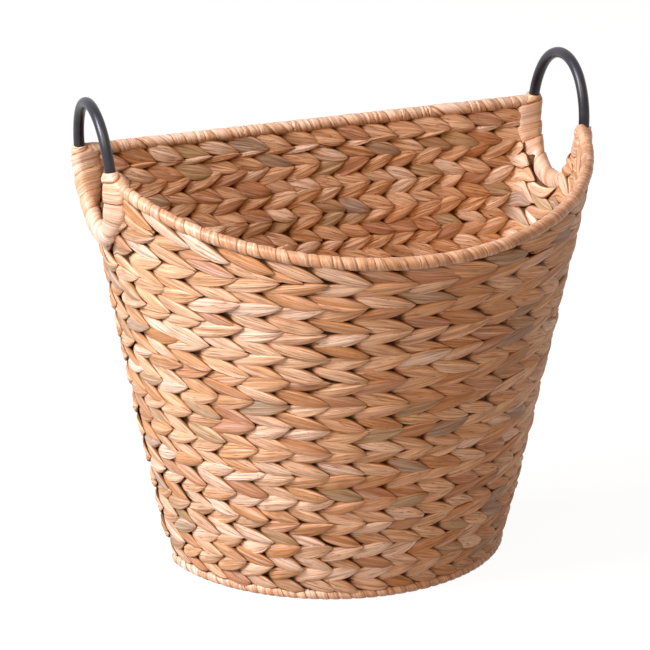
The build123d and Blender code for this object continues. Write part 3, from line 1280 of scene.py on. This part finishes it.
@dataclass
class WovenWall:
    """The wall's courses, from the base binding to the one under the rim. Lengths are in metres.

    Attributes:
        wall: The wall's shape.
        hoop: The hoops' shape.
        leaf: The leaf that it is woven of.
        full_rows: Rows of two courses that run all the way round.
        upper_rows: Rows that stop at the hoops.
        least: Lowest course that still has leaves, where the rim cuts it off.
        shortest: Shortest stretch of a course that has leaves, in stakes.
        leg_search: Where the right hoop's legs are looked for, in stakes from the right back corner.
        flat_room: How near the flat back a leg is that stands in it.
        settle_from: Height from which the courses are pressed down under the hoops.
        seed: Seed of the leaves' differences.
    """

    wall: WallShape
    hoop: HoopShape
    leaf: Leaf = Leaf()
    full_rows: int = 13
    upper_rows: tuple[int, ...] = (14, 15)
    least: float = 0.0042
    shortest: float = 0.5
    leg_search: Span = (-6.0, 0.5)
    flat_room: float = 0.003
    settle_from: float = 0.268
    seed: int = 7100

    def rng(self, course: int) -> Rng:
        """The source of a course's differences."""
        return np.random.default_rng(self.seed + course)

    def rim_limit(self, t: Array) -> Array:
        """The top of the courses at some places: the lower edge of the one under the rim."""
        return self.wall.rim_height(t) - self.wall.rim_binding / 2 - self.wall.course

    def settled(self, t: Array, z: float) -> Array:
        """A course edge, pressed down where a hoop stands on the wall.

        Args:
            t: Places along it, in stakes.
            z: Its height elsewhere.

        Returns:
            Its height at each place.
        """
        w, hoop = self.wall, self.hoop
        nominal = np.full_like(t, z)
        middle = hoop.middle(w)
        points = w.point(t, nominal)
        radius = hoop.end_radius + hoop.binding / 2
        aside = np.minimum(np.abs(points[:, 1] - middle.y), radius)
        low = middle.z - hoop.end_offset - np.sqrt(np.maximum(0.0, radius ** 2 - aside ** 2))
        top = w.foot + 2 * self.full_rows * w.course
        on_side = np.abs(points[:, 0]) > middle.x / 2
        limit = np.where(on_side, np.minimum(low, top), top)
        share = np.clip((z - self.settle_from) / (top - self.settle_from), 0.0, 1.0)
        return nominal - share * (top - limit)

    def track(self, course: int) -> Track:
        """Where a course runs on the wall. The lowest course falls, and they take turns from there.

        Args:
            course: The course's number from the foot, from 1.

        Returns:
            Its track, pressed down under the hoops and cut off by the rim.
        """
        low = self.wall.foot + (course - 1) * self.wall.course
        high = low + self.wall.course
        pressed = course <= 2 * self.full_rows
        near_rim = course >= 2 * self.full_rows - 2

        def bounds(t: Array) -> tuple[Array, Array]:
            """The course's lower and upper edge."""
            bottom, top = (self.settled(t, z) if pressed else np.full_like(t, z) for z in (low, high))
            return bottom, np.minimum(top, self.rim_limit(t)) if near_rim else top

        def height(t: Array) -> Array:
            """The course's middle."""
            bottom, top = bounds(t)
            return (bottom + top) / 2

        def squeeze(t: Array) -> Array:
            """The course's share of its full height."""
            bottom, top = bounds(t)
            return (top - bottom) / self.wall.course
        return Track(self.wall.frames, height, squeeze, Lie.FALLING if course % 2 else Lie.RISING)

    def leg_places(self, z: float) -> tuple[float, float, bool]:
        """Where a course meets the right hoop's two legs.

        Args:
            z: The course's height.

        Returns:
            The places of the front and the back leg, and whether the back leg stands in the flat back.
        """
        w = self.wall
        middle = self.hoop.middle(w)
        half = float(self.hoop.half_at(np.array([z - middle.z]))[0])
        t = w.front_stakes + np.linspace(*self.leg_search, 1300)
        y = w.point(t, np.full_like(t, z))[:, 1]
        in_front = y < middle.y
        front = t[np.argmin(np.where(in_front, np.abs(y - middle.y + half), 1.0))]
        back = t[np.argmin(np.where(in_front, 1.0, np.abs(y - middle.y - half)))]
        return float(front), float(back), middle.y + half > y.max() - self.flat_room

    def runs(self, squeeze: Along, start: float, stop: float) -> Iterator[tuple[float, float]]:
        """Stretches of a course where the rim leaves it room.

        Args:
            squeeze: The course's share of its full height.
            start: The first place.
            stop: The last place.

        Yields:
            The start and stop of each stretch.
        """
        t = np.linspace(start, stop, 900)
        room = squeeze(t) * self.wall.course > self.least
        edges = np.flatnonzero(np.diff(np.concatenate([[0], room.astype(int), [0]])))
        for first, last in zip(edges[::2], edges[1::2]):
            if t[last - 1] - t[first] > self.shortest:
                yield float(t[first]), float(t[last - 1])

    def back_run(self, track: Track, z: float, rng: Rng) -> list[Strand]:
        """A course of the flat back between the hoops' back legs.

        Args:
            track: Where the course runs.
            z: Its height at the legs.
            rng: The source of the leaves' differences.

        Returns:
            Its leaves and its inner laps.
        """
        w = self.wall
        _, back, flat = self.leg_places(z)
        if flat:
            middle, to_back, _, _ = self.hoop.plane(w, Side.RIGHT)
            reach = float((middle + to_back * self.hoop.half_width)[0])
            return self.leaf.run(replace(track, place=w.back_panel(reach)), w.front_stakes, w.stakes, rng)
        return self.leaf.run(track, back, 2 * w.front_stakes + w.back_stakes - back, rng)

    def build(self, finish: Material) -> None:
        """Build every course, one piece for each row of the frame.

        Args:
            finish: The leaf's material.
        """
        for row in range(1, self.full_rows + 1):
            piece = Weave(f"leaf_row_{row:02d}", [f"woven_row_{row:02d}"], Slot.WOVEN)
            for course in (2 * row - 1, 2 * row):
                piece.strands += self.leaf.ring(self.track(course), self.wall.stakes, self.rng(course))
            piece.build(finish)
        for row in self.upper_rows:
            self.build_upper_row(row, finish)
        self.build_rim_course(finish)

    def build_upper_row(self, row: int, finish: Material) -> None:
        """Build the front and the back of a row that stops at the hoops.

        Args:
            row: The row's number.
            finish: The leaf's material.
        """
        w = self.wall
        front = Weave(f"leaf_front_row_{row}", [f"front_row_{row}"], Slot.WOVEN)
        back = Weave(f"leaf_back_row_{row}", [f"back_row_{row}"], Slot.WOVEN)
        for course in (2 * row - 1, 2 * row):
            rng, track = self.rng(course), self.track(course)
            z = w.foot + (course - 0.5) * w.course
            leg, _, _ = self.leg_places(z)
            for start, stop in self.runs(track.squeeze, w.front_stakes - leg, leg):
                front.strands += self.leaf.run(track, start, stop, rng)
            back.strands += self.back_run(track, z, rng)
        front.build(finish)
        back.build(finish)

    def build_rim_course(self, finish: Material) -> None:
        """Build the course that follows the rim, under its binding.

        Args:
            finish: The leaf's material.
        """
        w, rng = self.wall, self.rng(0)

        def height(t: Array) -> Array:
            """The course's middle."""
            return w.rim_height(t) - w.rim_binding / 2 - w.course / 2

        track = Track(w.frames, height, np.ones_like, Lie.FALLING)
        z = w.back_rim - w.rim_binding / 2 - w.course / 2
        leg, _, _ = self.leg_places(z)
        front = self.leaf.run(track, w.front_stakes - leg, leg, rng)
        Weave("leaf_front_rim_course", ["front_rim_course"], Slot.WOVEN, front).build(finish)
        back = self.back_run(track, z, rng)
        Weave("leaf_back_rim_course", ["back_rim_course"], Slot.WOVEN, back).build(finish)


@dataclass
class WovenBase:
    """The base's mat of twined courses, from side to side inside the base binding. Lengths are in metres.

    Attributes:
        wall: The wall's shape.
        leaf: The leaf that it is woven of, pressed flatter than the wall's.
        rows: Rows of two courses, from front to back.
        stake_pitch: From one cross stake to the next.
        edge_room: Room between the mat and the wall.
        seed: Seed of the leaves' differences.
    """

    wall: WallShape
    leaf: Leaf = Leaf(half_width=0.0064, crown=0.0016, seat=0.0010, lap=0.0008, rise=0.0030, core=0.0008)
    rows: int = 7
    stake_pitch: float = 0.030
    edge_room: float = 0.004
    seed: int = 8300

    def build(self, finish: Material) -> None:
        """Build the mat, one piece for each row of the frame.

        Args:
            finish: The leaf's material.
        """
        for row in range(1, self.rows + 1):
            low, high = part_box(f"base_row_{row}")
            level = (low.z + high.z) / 2
            course = (high.y - low.y) / 2
            piece = Weave(f"leaf_base_row_{row}", [f"base_row_{row}"], Slot.WOVEN)
            for i, lie in enumerate((Lie.FALLING, Lie.RISING)):
                rng = np.random.default_rng(self.seed + 2 * row + i)
                y = low.y + (i + 0.5) * course
                reach = self.reach(y, level) / self.stake_pitch
                track = Track(self.place(level), steady(y), steady(course / self.wall.course), lie)
                piece.strands += self.leaf.run(track, -reach, reach, rng)
            for strand in piece.strands:
                strand.stand_on_floor()
            piece.build(finish)

    def reach(self, y: float, level: float) -> float:
        """Half the mat's width.

        Args:
            y: How far behind the origin.
            level: The mat's height.

        Returns:
            The half width there.
        """
        centre, radius, _ = self.wall.section(np.array([level]))
        inside = float(radius[0]) - self.edge_room
        return math.sqrt(max(0.0, inside ** 2 - (y - float(centre[0])) ** 2))

    def place(self, level: float) -> Place:
        """The mat's middle layer.

        Args:
            level: Its height.

        Returns:
            A place like the wall's frames.
        """
        def at(t: Array, y: Array) -> Frames:
            """Points across the mat.

            Args:
                t: Places from side to side, in stakes.
                y: Places from front to back, in metres.

            Returns:
                Points, along, up and out.
            """
            along = np.broadcast_to([1.0, 0.0, 0.0], (len(t), 3))
            up = np.broadcast_to([0.0, 1.0, 0.0], (len(t), 3))
            points = np.stack([t * self.stake_pitch, y + 0 * t, np.full_like(t, level)], axis=-1)
            return points, along, up, np.cross(along, up)
        return at


@dataclass(frozen=True)
class Winding:
    """Leaf wound round a wire or tube. Lengths are in metres.

    Attributes:
        radius: Outside radius of the winding.
        band: Usual width of one turn.
        spread: How much the turns' widths differ.
        crown: How far a turn's middle stands out from its edges.
        sunk: How much of the crown lies inside the radius, as a share.
        overlap: How far a turn's far edge stands over the next turn.
        near_seam: How much of a turn is shaded by the turn that lies over it, as a share.
        far_seam: How much of it is edge on the other side, darkened there as painted shade.
        seam_light: How proud the seams are, where a turn's middle is 1.
        take_in: How far towards a pull a place faces that stays, and one that follows all the way.
        tones: The palest and the darkest turn, as places in the finish's colours.
        pucker: Height of the small folds along a turn.
        fibre: Width of a fibre, which scales the grain across a turn.
        fibre_run: Length of a fibre, which scales it along a turn.
        around: Points round the section.
        step: Distance between rings.
    """

    radius: float
    band: float
    spread: float = 0.35
    crown: float = 0.0007
    sunk: float = 0.6
    overlap: float = 0.0006
    near_seam: float = 0.10
    far_seam: float = 0.05
    seam_light: float = 0.2
    take_in: Span = (-0.35, 0.75)
    tones: Span = (0.0, 0.8)
    pucker: float = 0.00018
    fibre: float = 0.0016
    fibre_run: float = 0.03
    around: int = 28
    step: float = 0.0007

    def wind(self, line: Array, side: Array, rng: Rng, closed: bool = False,
             pull: Array | None = None, swell: Array | None = None) -> Strand:
        """Wind leaf along a line.

        Args:
            line: Points along the middle, evenly spaced.
            side: A direction across the line.
            rng: The source of the turns' differences.
            closed: Whether the line runs round into its own start.
            pull: How far the winding reaches to one side at each point, to take in what stands there.
            swell: The winding's thickness at each point, as a share of the usual one.

        Returns:
            The winding's surface.
        """
        ahead = np.roll(line, -1, axis=0) - np.roll(line, 1, axis=0)
        if not closed:
            ahead[0], ahead[-1] = line[1] - line[0], line[-1] - line[-2]
        ahead = unit(ahead)
        side = unit(side - (side * ahead).sum(-1, keepdims=True) * ahead)
        other = np.cross(ahead, side)
        along = distances(line)
        length = along[-1] + (np.linalg.norm(line[0] - line[-1]) if closed else 0.0)
        count = max(3, int(round(length / self.band)))
        widths = np.exp(self.spread * rng.standard_normal(count))
        knots = np.concatenate([[0.0], np.cumsum(widths)]) * length / widths.sum()
        alpha = round_angles(self.around)
        turn = np.interp(along, knots, np.arange(count + 1.0))[:, None] - alpha[None, :] / (2 * math.pi)
        index = np.floor(turn).astype(int)
        f = turn - index
        from_middle = np.abs(2 * f - 1)
        height = self.crown * (1.0 - from_middle ** 3) + self.overlap * (f - 0.5)
        waves = np.round(2.0 + 2.0 * widths[index % count])
        pucker = self.pucker * np.sin(2 * math.pi * f * waves + index) * (1.0 - from_middle ** 4)
        r = self.radius + height - self.sunk * self.crown + pucker
        if swell is not None:
            r = r * swell[:, None]
        away = offset(0 * line, side, np.cos(alpha)[None, :], other, np.sin(alpha)[None, :])
        surface = line[:, None, :] + r[..., None] * away
        if pull is not None:
            reach = np.maximum(np.linalg.norm(pull, axis=-1), 1e-6)
            facing = (away * (pull / reach[:, None])[:, None, :]).sum(-1)
            surface = surface + ease(*self.take_in, facing)[..., None] * pull[:, None, :]
        tone = rng.uniform(*self.tones, count)[index % count]
        # Painted shade: darker where a turn goes under the turn over it and at its far edge.
        proud = ease(0.0, self.near_seam, f) * (0.5 + 0.5 * ease(0.0, self.far_seam, 1.0 - f))
        proud = proud * (1.0 - self.seam_light) + self.seam_light
        # Each turn has its own place in the grain.
        grain = np.stack([
            alpha[None, :] * self.radius / self.fibre_run + 0 * f,
            f * self.band / self.fibre + 40.0 * tone,
            index * 3.7 + 0 * f,
        ], axis=-1)
        return Strand(surface, tone, proud, grain, closed)


@dataclass
class Bindings:
    """Leaf wound on the rim, on the base ring and on the lower half of each hoop. Lengths are in metres.

    Attributes:
        wall: The wall's shape.
        hoop: The hoops' shape.
        seed: Seed of the turns' differences.
        front_pull: How far a hoop's wrap reaches forward over the wall's edge at its front leg.
        side_pull: How far it reaches inward there, as a share of that.
        back_pull: How far it reaches inward over the wall's edge at its back leg.
        foot_pull: How far it reaches down at the hoop's foot.
        leg_heights: From the hoop's middle, where the foot ends and where the legs start.
        leg_swell: How much thicker the wrap is on the legs, as a share.
        end_swell: The wrap's thickness at its two ends, as a share.
        end_length: How far from an end it is full.
        end_pull: How far from an end it starts to reach over the wall's edge, and reaches all the way.
        wrap_tops: How far above each hoop's middle the wrap ends, at the front and at the back.
    """

    wall: WallShape
    hoop: HoopShape
    seed: int = 9200
    front_pull: float = 0.0120
    side_pull: float = 0.45
    back_pull: float = 0.0100
    foot_pull: float = 0.0030
    leg_heights: Span = (-0.052, -0.022)
    leg_swell: float = 0.10
    end_swell: float = 0.80
    end_length: float = 0.005
    end_pull: Span = (-0.002, 0.012)
    wrap_tops: dict[Side, Span] = field(default_factory=lambda: {
        Side.RIGHT: (0.004, 0.008), Side.LEFT: (0.011, 0.007)})

    def build(self, finish: Material) -> None:
        """Wind all the bindings.

        Args:
            finish: The wound leaf's material.
        """
        self.front_rim(finish)
        self.back_rim(finish)
        self.base_ring(finish)
        for side in Side:
            self.lower_hoop(side, finish)

    def rng(self, number: int) -> Rng:
        """The source of a binding's differences."""
        return np.random.default_rng(self.seed + number)

    def spaced(self, line: Along, start: float, stop: float, step: float) -> Array:
        """Evenly spaced points along a line.

        Args:
            line: Gives points at some places.
            start: The first place.
            stop: The last place.
            step: Distance between points.

        Returns:
            The points.
        """
        t = np.linspace(start, stop, 2000)
        along = distances(line(t))
        return line(np.interp(np.arange(0.0, along[-1], step), along, t))

    def front_rim(self, finish: Material) -> None:
        """Wind the rim from hoop to hoop round the front.

        Args:
            finish: The wound leaf's material.
        """
        w, hoop = self.wall, self.hoop
        # The front rim's turns take darker tones, as painted shade on its face.
        winding = Winding(
            radius=w.rim_binding / 2, band=0.0108, spread=0.5, crown=0.0004,
            tones=(0.50, 0.95), pucker=0.0001)
        t = np.linspace(w.front_stakes - 6.0, w.front_stakes, 1200)
        y = w.point(t, np.full_like(t, w.back_rim))[:, 1]
        leg = float(t[np.argmin(np.abs(y - hoop.middle(w).y + hoop.half_width))])
        line = self.spaced(lambda s: w.point(s, w.rim_height(s)), w.front_stakes - leg, leg, winding.step)
        strand = winding.wind(line, UP, self.rng(0))
        Weave("rim_binding_front", ["front_rim_binding"], Slot.WOUND, [strand]).build(finish)

    def back_rim(self, finish: Material) -> None:
        """Wind the straight back rim, with its ends tucked into the hoops' wraps.

        Args:
            finish: The wound leaf's material.
        """
        low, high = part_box("back_rim_binding")
        # The back rim's turns take the palest tones, as painted light on its top.
        winding = Winding(radius=(high.z - low.z) / 2, band=0.0120, spread=0.6, tones=(0.0, 0.3))
        tuck = 0.004
        x = np.arange(high.x + tuck, low.x - tuck, -winding.step)
        y, z = (low.y + high.y) / 2, (low.z + high.z) / 2
        line = np.stack([x, np.full_like(x, y), np.full_like(x, z)], axis=-1)
        strand = winding.wind(line, UP, self.rng(1))
        Weave("rim_binding_back", ["back_rim_binding"], Slot.WOUND, [strand]).build(finish)

    def base_ring(self, finish: Material) -> None:
        """Wind the base ring, all the way round.

        Args:
            finish: The wound leaf's material.
        """
        w = self.wall
        low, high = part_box("base_ring_wire")
        level = (low.z + high.z) / 2
        winding = Winding(radius=0.0046, band=0.0110, spread=0.4, around=24)
        line = self.spaced(lambda s: w.point(s, np.full_like(s, level)), 0.0, w.stakes, winding.step)
        strand = winding.wind(line, UP, self.rng(2), closed=True)
        strand.stand_on_floor()
        Weave("base_binding_leaf", ["base_binding"], Slot.WOUND, [strand]).build(finish)

    def lower_hoop(self, side: Side, finish: Material) -> None:
        """Wind the lower half of a hoop in broad bands, which take in the wall's edges beside its legs.

        Args:
            side: The hoop's side.
            finish: The wound leaf's material.
        """
        winding = Winding(
            radius=self.hoop.binding / 2, band=0.0205, spread=0.34, crown=0.0006, overlap=0.0011,
            tones=(0.05, 0.62), pucker=0.00005, around=44)
        middle, to_back, upright, normal = self.hoop.plane(self.wall, side)
        flat = self.hoop.lower_line(winding.step, *self.wrap_tops[side])
        line = middle + flat[:, :1] * to_back + flat[:, 1:] * upright
        on_leg = ease(*self.leg_heights, flat[:, 1])[:, None]
        inward = np.array([-side.value, 0.0, 0.0])
        forward = self.front_pull * (self.side_pull * inward - to_back)
        over_edge = np.where(flat[:, :1] < 0, forward, self.back_pull * inward)
        from_end = winding.step * np.minimum(np.arange(len(line)), np.arange(len(line))[::-1])
        pull = on_leg * over_edge - (1.0 - on_leg) * self.foot_pull * upright
        pull = pull * ease(*self.end_pull, from_end)[:, None]
        swell = self.end_swell + (1.0 - self.end_swell) * ease(0.0, self.end_length, from_end)
        swell = swell * (1.0 + self.leg_swell * on_leg[:, 0])
        strand = winding.wind(line, normal, self.rng(10 + side.value), pull=pull, swell=swell)
        Weave(f"{side.word}_hoop_wrap", [f"{side.word}_hoop_binding"], Slot.WOUND, [strand]).build(finish)


@dataclass
class WireFrame:
    """The wires inside the weave and the bare hoops, as the frame has them.

    Attributes:
        wires: The wires' nodes.
        hoops: The hoops' nodes.
    """

    wires: tuple[str, ...] = (
        "back_rim_wire", "front_rim_wire", "base_ring_wire", "base_cross_wires",
        "back_stakes", "front_stakes", "side_stakes", "corner_stakes")
    hoops: tuple[str, ...] = ("right_handle_hoop", "left_handle_hoop")

    def dress(self, wire: Material, tube: Material) -> None:
        """Give the wires and hoops their finishes.

        Args:
            wire: The wires' lacquer.
            tube: The hoops' paint.
        """
        for names, material in ((self.wires, wire), (self.hoops, tube)):
            for name in names:
                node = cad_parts[name]
                if not node.material_slots:
                    node.data.materials.append(material)
                for slot in node.material_slots:
                    slot.material = material
                log.info("%s: dressed", name)


@dataclass(frozen=True)
class Lamp:
    """A soft square lamp that looks at the basket.

    Attributes:
        name: The lamp's name.
        place: Where it hangs, in metres.
        size: Its side, in metres.
        power: Its power, in watts.
        colour: Its colour.
    """

    name: str
    place: tuple[float, float, float]
    size: float
    power: float
    colour: Colour

    def hang(self, target: Vector) -> None:
        """Hang the lamp.

        Args:
            target: The point that it looks at.
        """
        data = bpy.data.lights.new(self.name, "AREA")
        data.size = self.size
        data.energy = self.power
        data.color = self.colour
        lamp = bpy.data.objects.new(self.name, data)
        bpy.context.scene.collection.objects.link(lamp)
        lamp.location = self.place
        lamp.rotation_euler = (Vector(self.place) - target).to_track_quat("Z", "Y").to_euler()


@dataclass
class Studio:
    """A pale floor under a white backdrop, cool soft light from the left with warm fills, and the camera.

    Attributes:
        target: The point that the camera looks at, in metres.
        azimuth: The camera's angle from the front, to the right.
        elevation: Its angle above the floor.
        distance: Its distance from the target.
        lens: Its focal length, in millimetres.
        sensor: Its sensor's width, in millimetres.
        lamp_target: The point that the lamps look at.
        lamps: The lamps.
        sky_colour: Colour of the light from all round.
        sky_strength: Its strength.
        backdrop_strength: The backdrop's brightness, where 1 is white.
        floor_reach: Half the floor's side.
        floor_colour: The floor's own colour.
        floor_rough: Its roughness.
        floor_glow: Brightness that is mixed into the floor where the camera sees it.
        floor_share: How much of it is mixed in; the rest keeps the basket's shadow.
    """

    target: Vector = field(default_factory=lambda: Vector((-0.0422, -0.00075, 0.2448)))
    azimuth: float = math.radians(-21.265)
    elevation: float = math.radians(19.134)
    distance: float = 3.9607
    lens: float = 242.9
    sensor: float = 36.0
    lamp_target: Vector = field(default_factory=lambda: Vector((0.0, 0.0, 0.22)))
    lamps: tuple[Lamp, ...] = (
        Lamp("key", (-2.05, -0.12, 1.98), 1.2, 140.0, (0.95, 1.0, 1.18)),
        Lamp("front", (-0.90, -1.45, 2.33), 1.0, 29.0, (1.0, 0.62, 0.34)),
        Lamp("fill", (1.7, -2.1, 0.42), 0.8, 3.2, (1.0, 0.54, 0.25)),
        Lamp("side", (2.6, 0.6, 0.65), 1.2, 6.5, (1.0, 0.70, 0.45)),
    )
    sky_colour: Colour = (1.0, 0.50, 0.20)
    sky_strength: float = 0.095
    backdrop_strength: float = 1.02
    floor_reach: float = 30.0
    floor_colour: Colour = (0.52, 0.48, 0.44)
    floor_rough: float = 0.9
    floor_glow: float = 1.16
    floor_share: float = 0.82

    def camera(self) -> None:
        """Place the camera."""
        data = bpy.data.cameras.new("camera")
        data.lens = self.lens
        data.sensor_width = self.sensor
        data.clip_end = 100.0
        camera = bpy.data.objects.new("camera", data)
        bpy.context.scene.collection.objects.link(camera)
        level = math.cos(self.elevation)
        back = Vector((
            math.sin(self.azimuth) * level, -math.cos(self.azimuth) * level, math.sin(self.elevation)))
        camera.location = self.target + back * self.distance
        camera.rotation_euler = back.to_track_quat("Z", "Y").to_euler()
        bpy.context.scene.camera = camera

    def lights(self) -> None:
        """Hang the lamps and set the sky, with a white backdrop where it is seen."""
        for lamp in self.lamps:
            lamp.hang(self.lamp_target)
        world = bpy.data.worlds.new("sky")
        bpy.context.scene.world = world
        world.use_nodes = True
        tree = world.node_tree
        ambient = tree.nodes["Background"]
        ambient.inputs["Color"].default_value = (*self.sky_colour, 1.0)
        ambient.inputs["Strength"].default_value = self.sky_strength
        backdrop = tree.nodes.new("ShaderNodeBackground")
        backdrop.inputs["Color"].default_value = (1.0, 1.0, 1.0, 1.0)
        backdrop.inputs["Strength"].default_value = self.backdrop_strength
        mix = tree.nodes.new("ShaderNodeMixShader")
        tree.links.new(seen_by(tree, BACKDROP_RAYS), mix.inputs["Fac"])
        tree.links.new(ambient.outputs["Background"], mix.inputs[1])
        tree.links.new(backdrop.outputs["Background"], mix.inputs[2])
        tree.links.new(mix.outputs["Shader"], tree.nodes["World Output"].inputs["Surface"])

    def floor(self) -> None:
        """Lay a wide pale floor that keeps the basket's shadow."""
        mesh = bpy.data.meshes.new("floor")
        reach = self.floor_reach
        corners = [(-reach, -reach, 0), (reach, -reach, 0), (reach, reach, 0), (-reach, reach, 0)]
        mesh.from_pydata(corners, [], [(0, 1, 2, 3)])
        floor = bpy.data.objects.new("floor", mesh)
        bpy.context.scene.collection.objects.link(floor)
        n = Nodes("pale_floor")
        n.shader.inputs["Base Color"].default_value = (*self.floor_colour, 1.0)
        n.shader.inputs["Roughness"].default_value = self.floor_rough
        glow = n.add("ShaderNodeEmission")
        glow.inputs["Strength"].default_value = self.floor_glow
        mix = n.add("ShaderNodeMixShader")
        n.link(n.span(seen_by(n.tree, BACKDROP_RAYS), (0.0, 1.0), (0.0, self.floor_share)), mix.inputs["Fac"])
        n.link(n.shader.outputs["BSDF"], mix.inputs[1])
        n.link(glow.outputs["Emission"], mix.inputs[2])
        n.link(mix.outputs["Shader"], n.tree.nodes["Material Output"].inputs["Surface"])
        mesh.materials.append(n.material)
        floor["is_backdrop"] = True

    def build(self) -> None:
        """Set the stage."""
        self.camera()
        self.lights()
        self.floor()
        bpy.context.scene.view_settings.view_transform = "Standard"


WOVEN_LEAF = LeafFinish(
    name="twined_leaf",
    tones=(
        (0.00, (0.86, 0.62, 0.440)), (0.25, (0.78, 0.490, 0.288)), (0.50, (0.70, 0.385, 0.188)),
        (0.72, (0.60, 0.285, 0.110)), (0.84, (0.50, 0.235, 0.125)), (0.93, (0.46, 0.315, 0.155)),
        (1.00, (0.37, 0.26, 0.19)),
    ))
WOUND_LEAF = LeafFinish(
    name="wound_leaf_strip",
    tones=(
        (0.00, (0.80, 0.575, 0.41)), (0.30, (0.74, 0.475, 0.30)), (0.60, (0.67, 0.39, 0.215)),
        (0.85, (0.52, 0.275, 0.135)), (1.00, (0.38, 0.20, 0.10)),
    ),
    rough=(0.28, 0.48), shine=0.42, relief=0.30, seam=0.34)
HOOP_PAINT = CoatFinish(
    name="satin_black_paint", colour=(0.012, 0.011, 0.015), worn=(0.027, 0.026, 0.031), wear=(0.42, 0.72),
    patch_scale=45.0, rough=(0.26, 0.40), shine=0.35,
    speck_scale=900.0, speck_detail=2.0, relief=0.12, relief_depth=0.0002)
WIRE_LACQUER = CoatFinish(
    name="brown_wire_lacquer", colour=(0.060, 0.030, 0.015), worn=(0.14, 0.085, 0.05), wear=(0.40, 0.75),
    patch_scale=120.0, rough=(0.40, 0.65), shine=0.5,
    speck_scale=120.0, speck_detail=4.0, relief=0.1, relief_depth=0.0003)


def corners(box: tuple[Vector, Vector]) -> list[list[float]]:
    """A box's two corners as plain lists of numbers."""
    return [[float(v) for v in corner] for corner in box]


def main() -> None:
    """Build the basket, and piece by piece."""
    logging.basicConfig(level=logging.INFO, format="%(name)s %(message)s")
    cad_box = corners(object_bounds())
    wall, hoop = WallShape(), HoopShape()
    woven, wound = WOVEN_LEAF.material(), WOUND_LEAF.material()
    WovenWall(wall, hoop).build(woven)
    WovenBase(wall).build(woven)
    Bindings(wall, hoop).build(wound)
    WireFrame().dress(WIRE_LACQUER.material(), HOOP_PAINT.material())
    Studio().build()
    bpy.context.view_layer.update()
    {"cad": cad_box, "visual": corners(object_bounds())}
    log.info("size written")


if __name__ == "__main__":
    main()
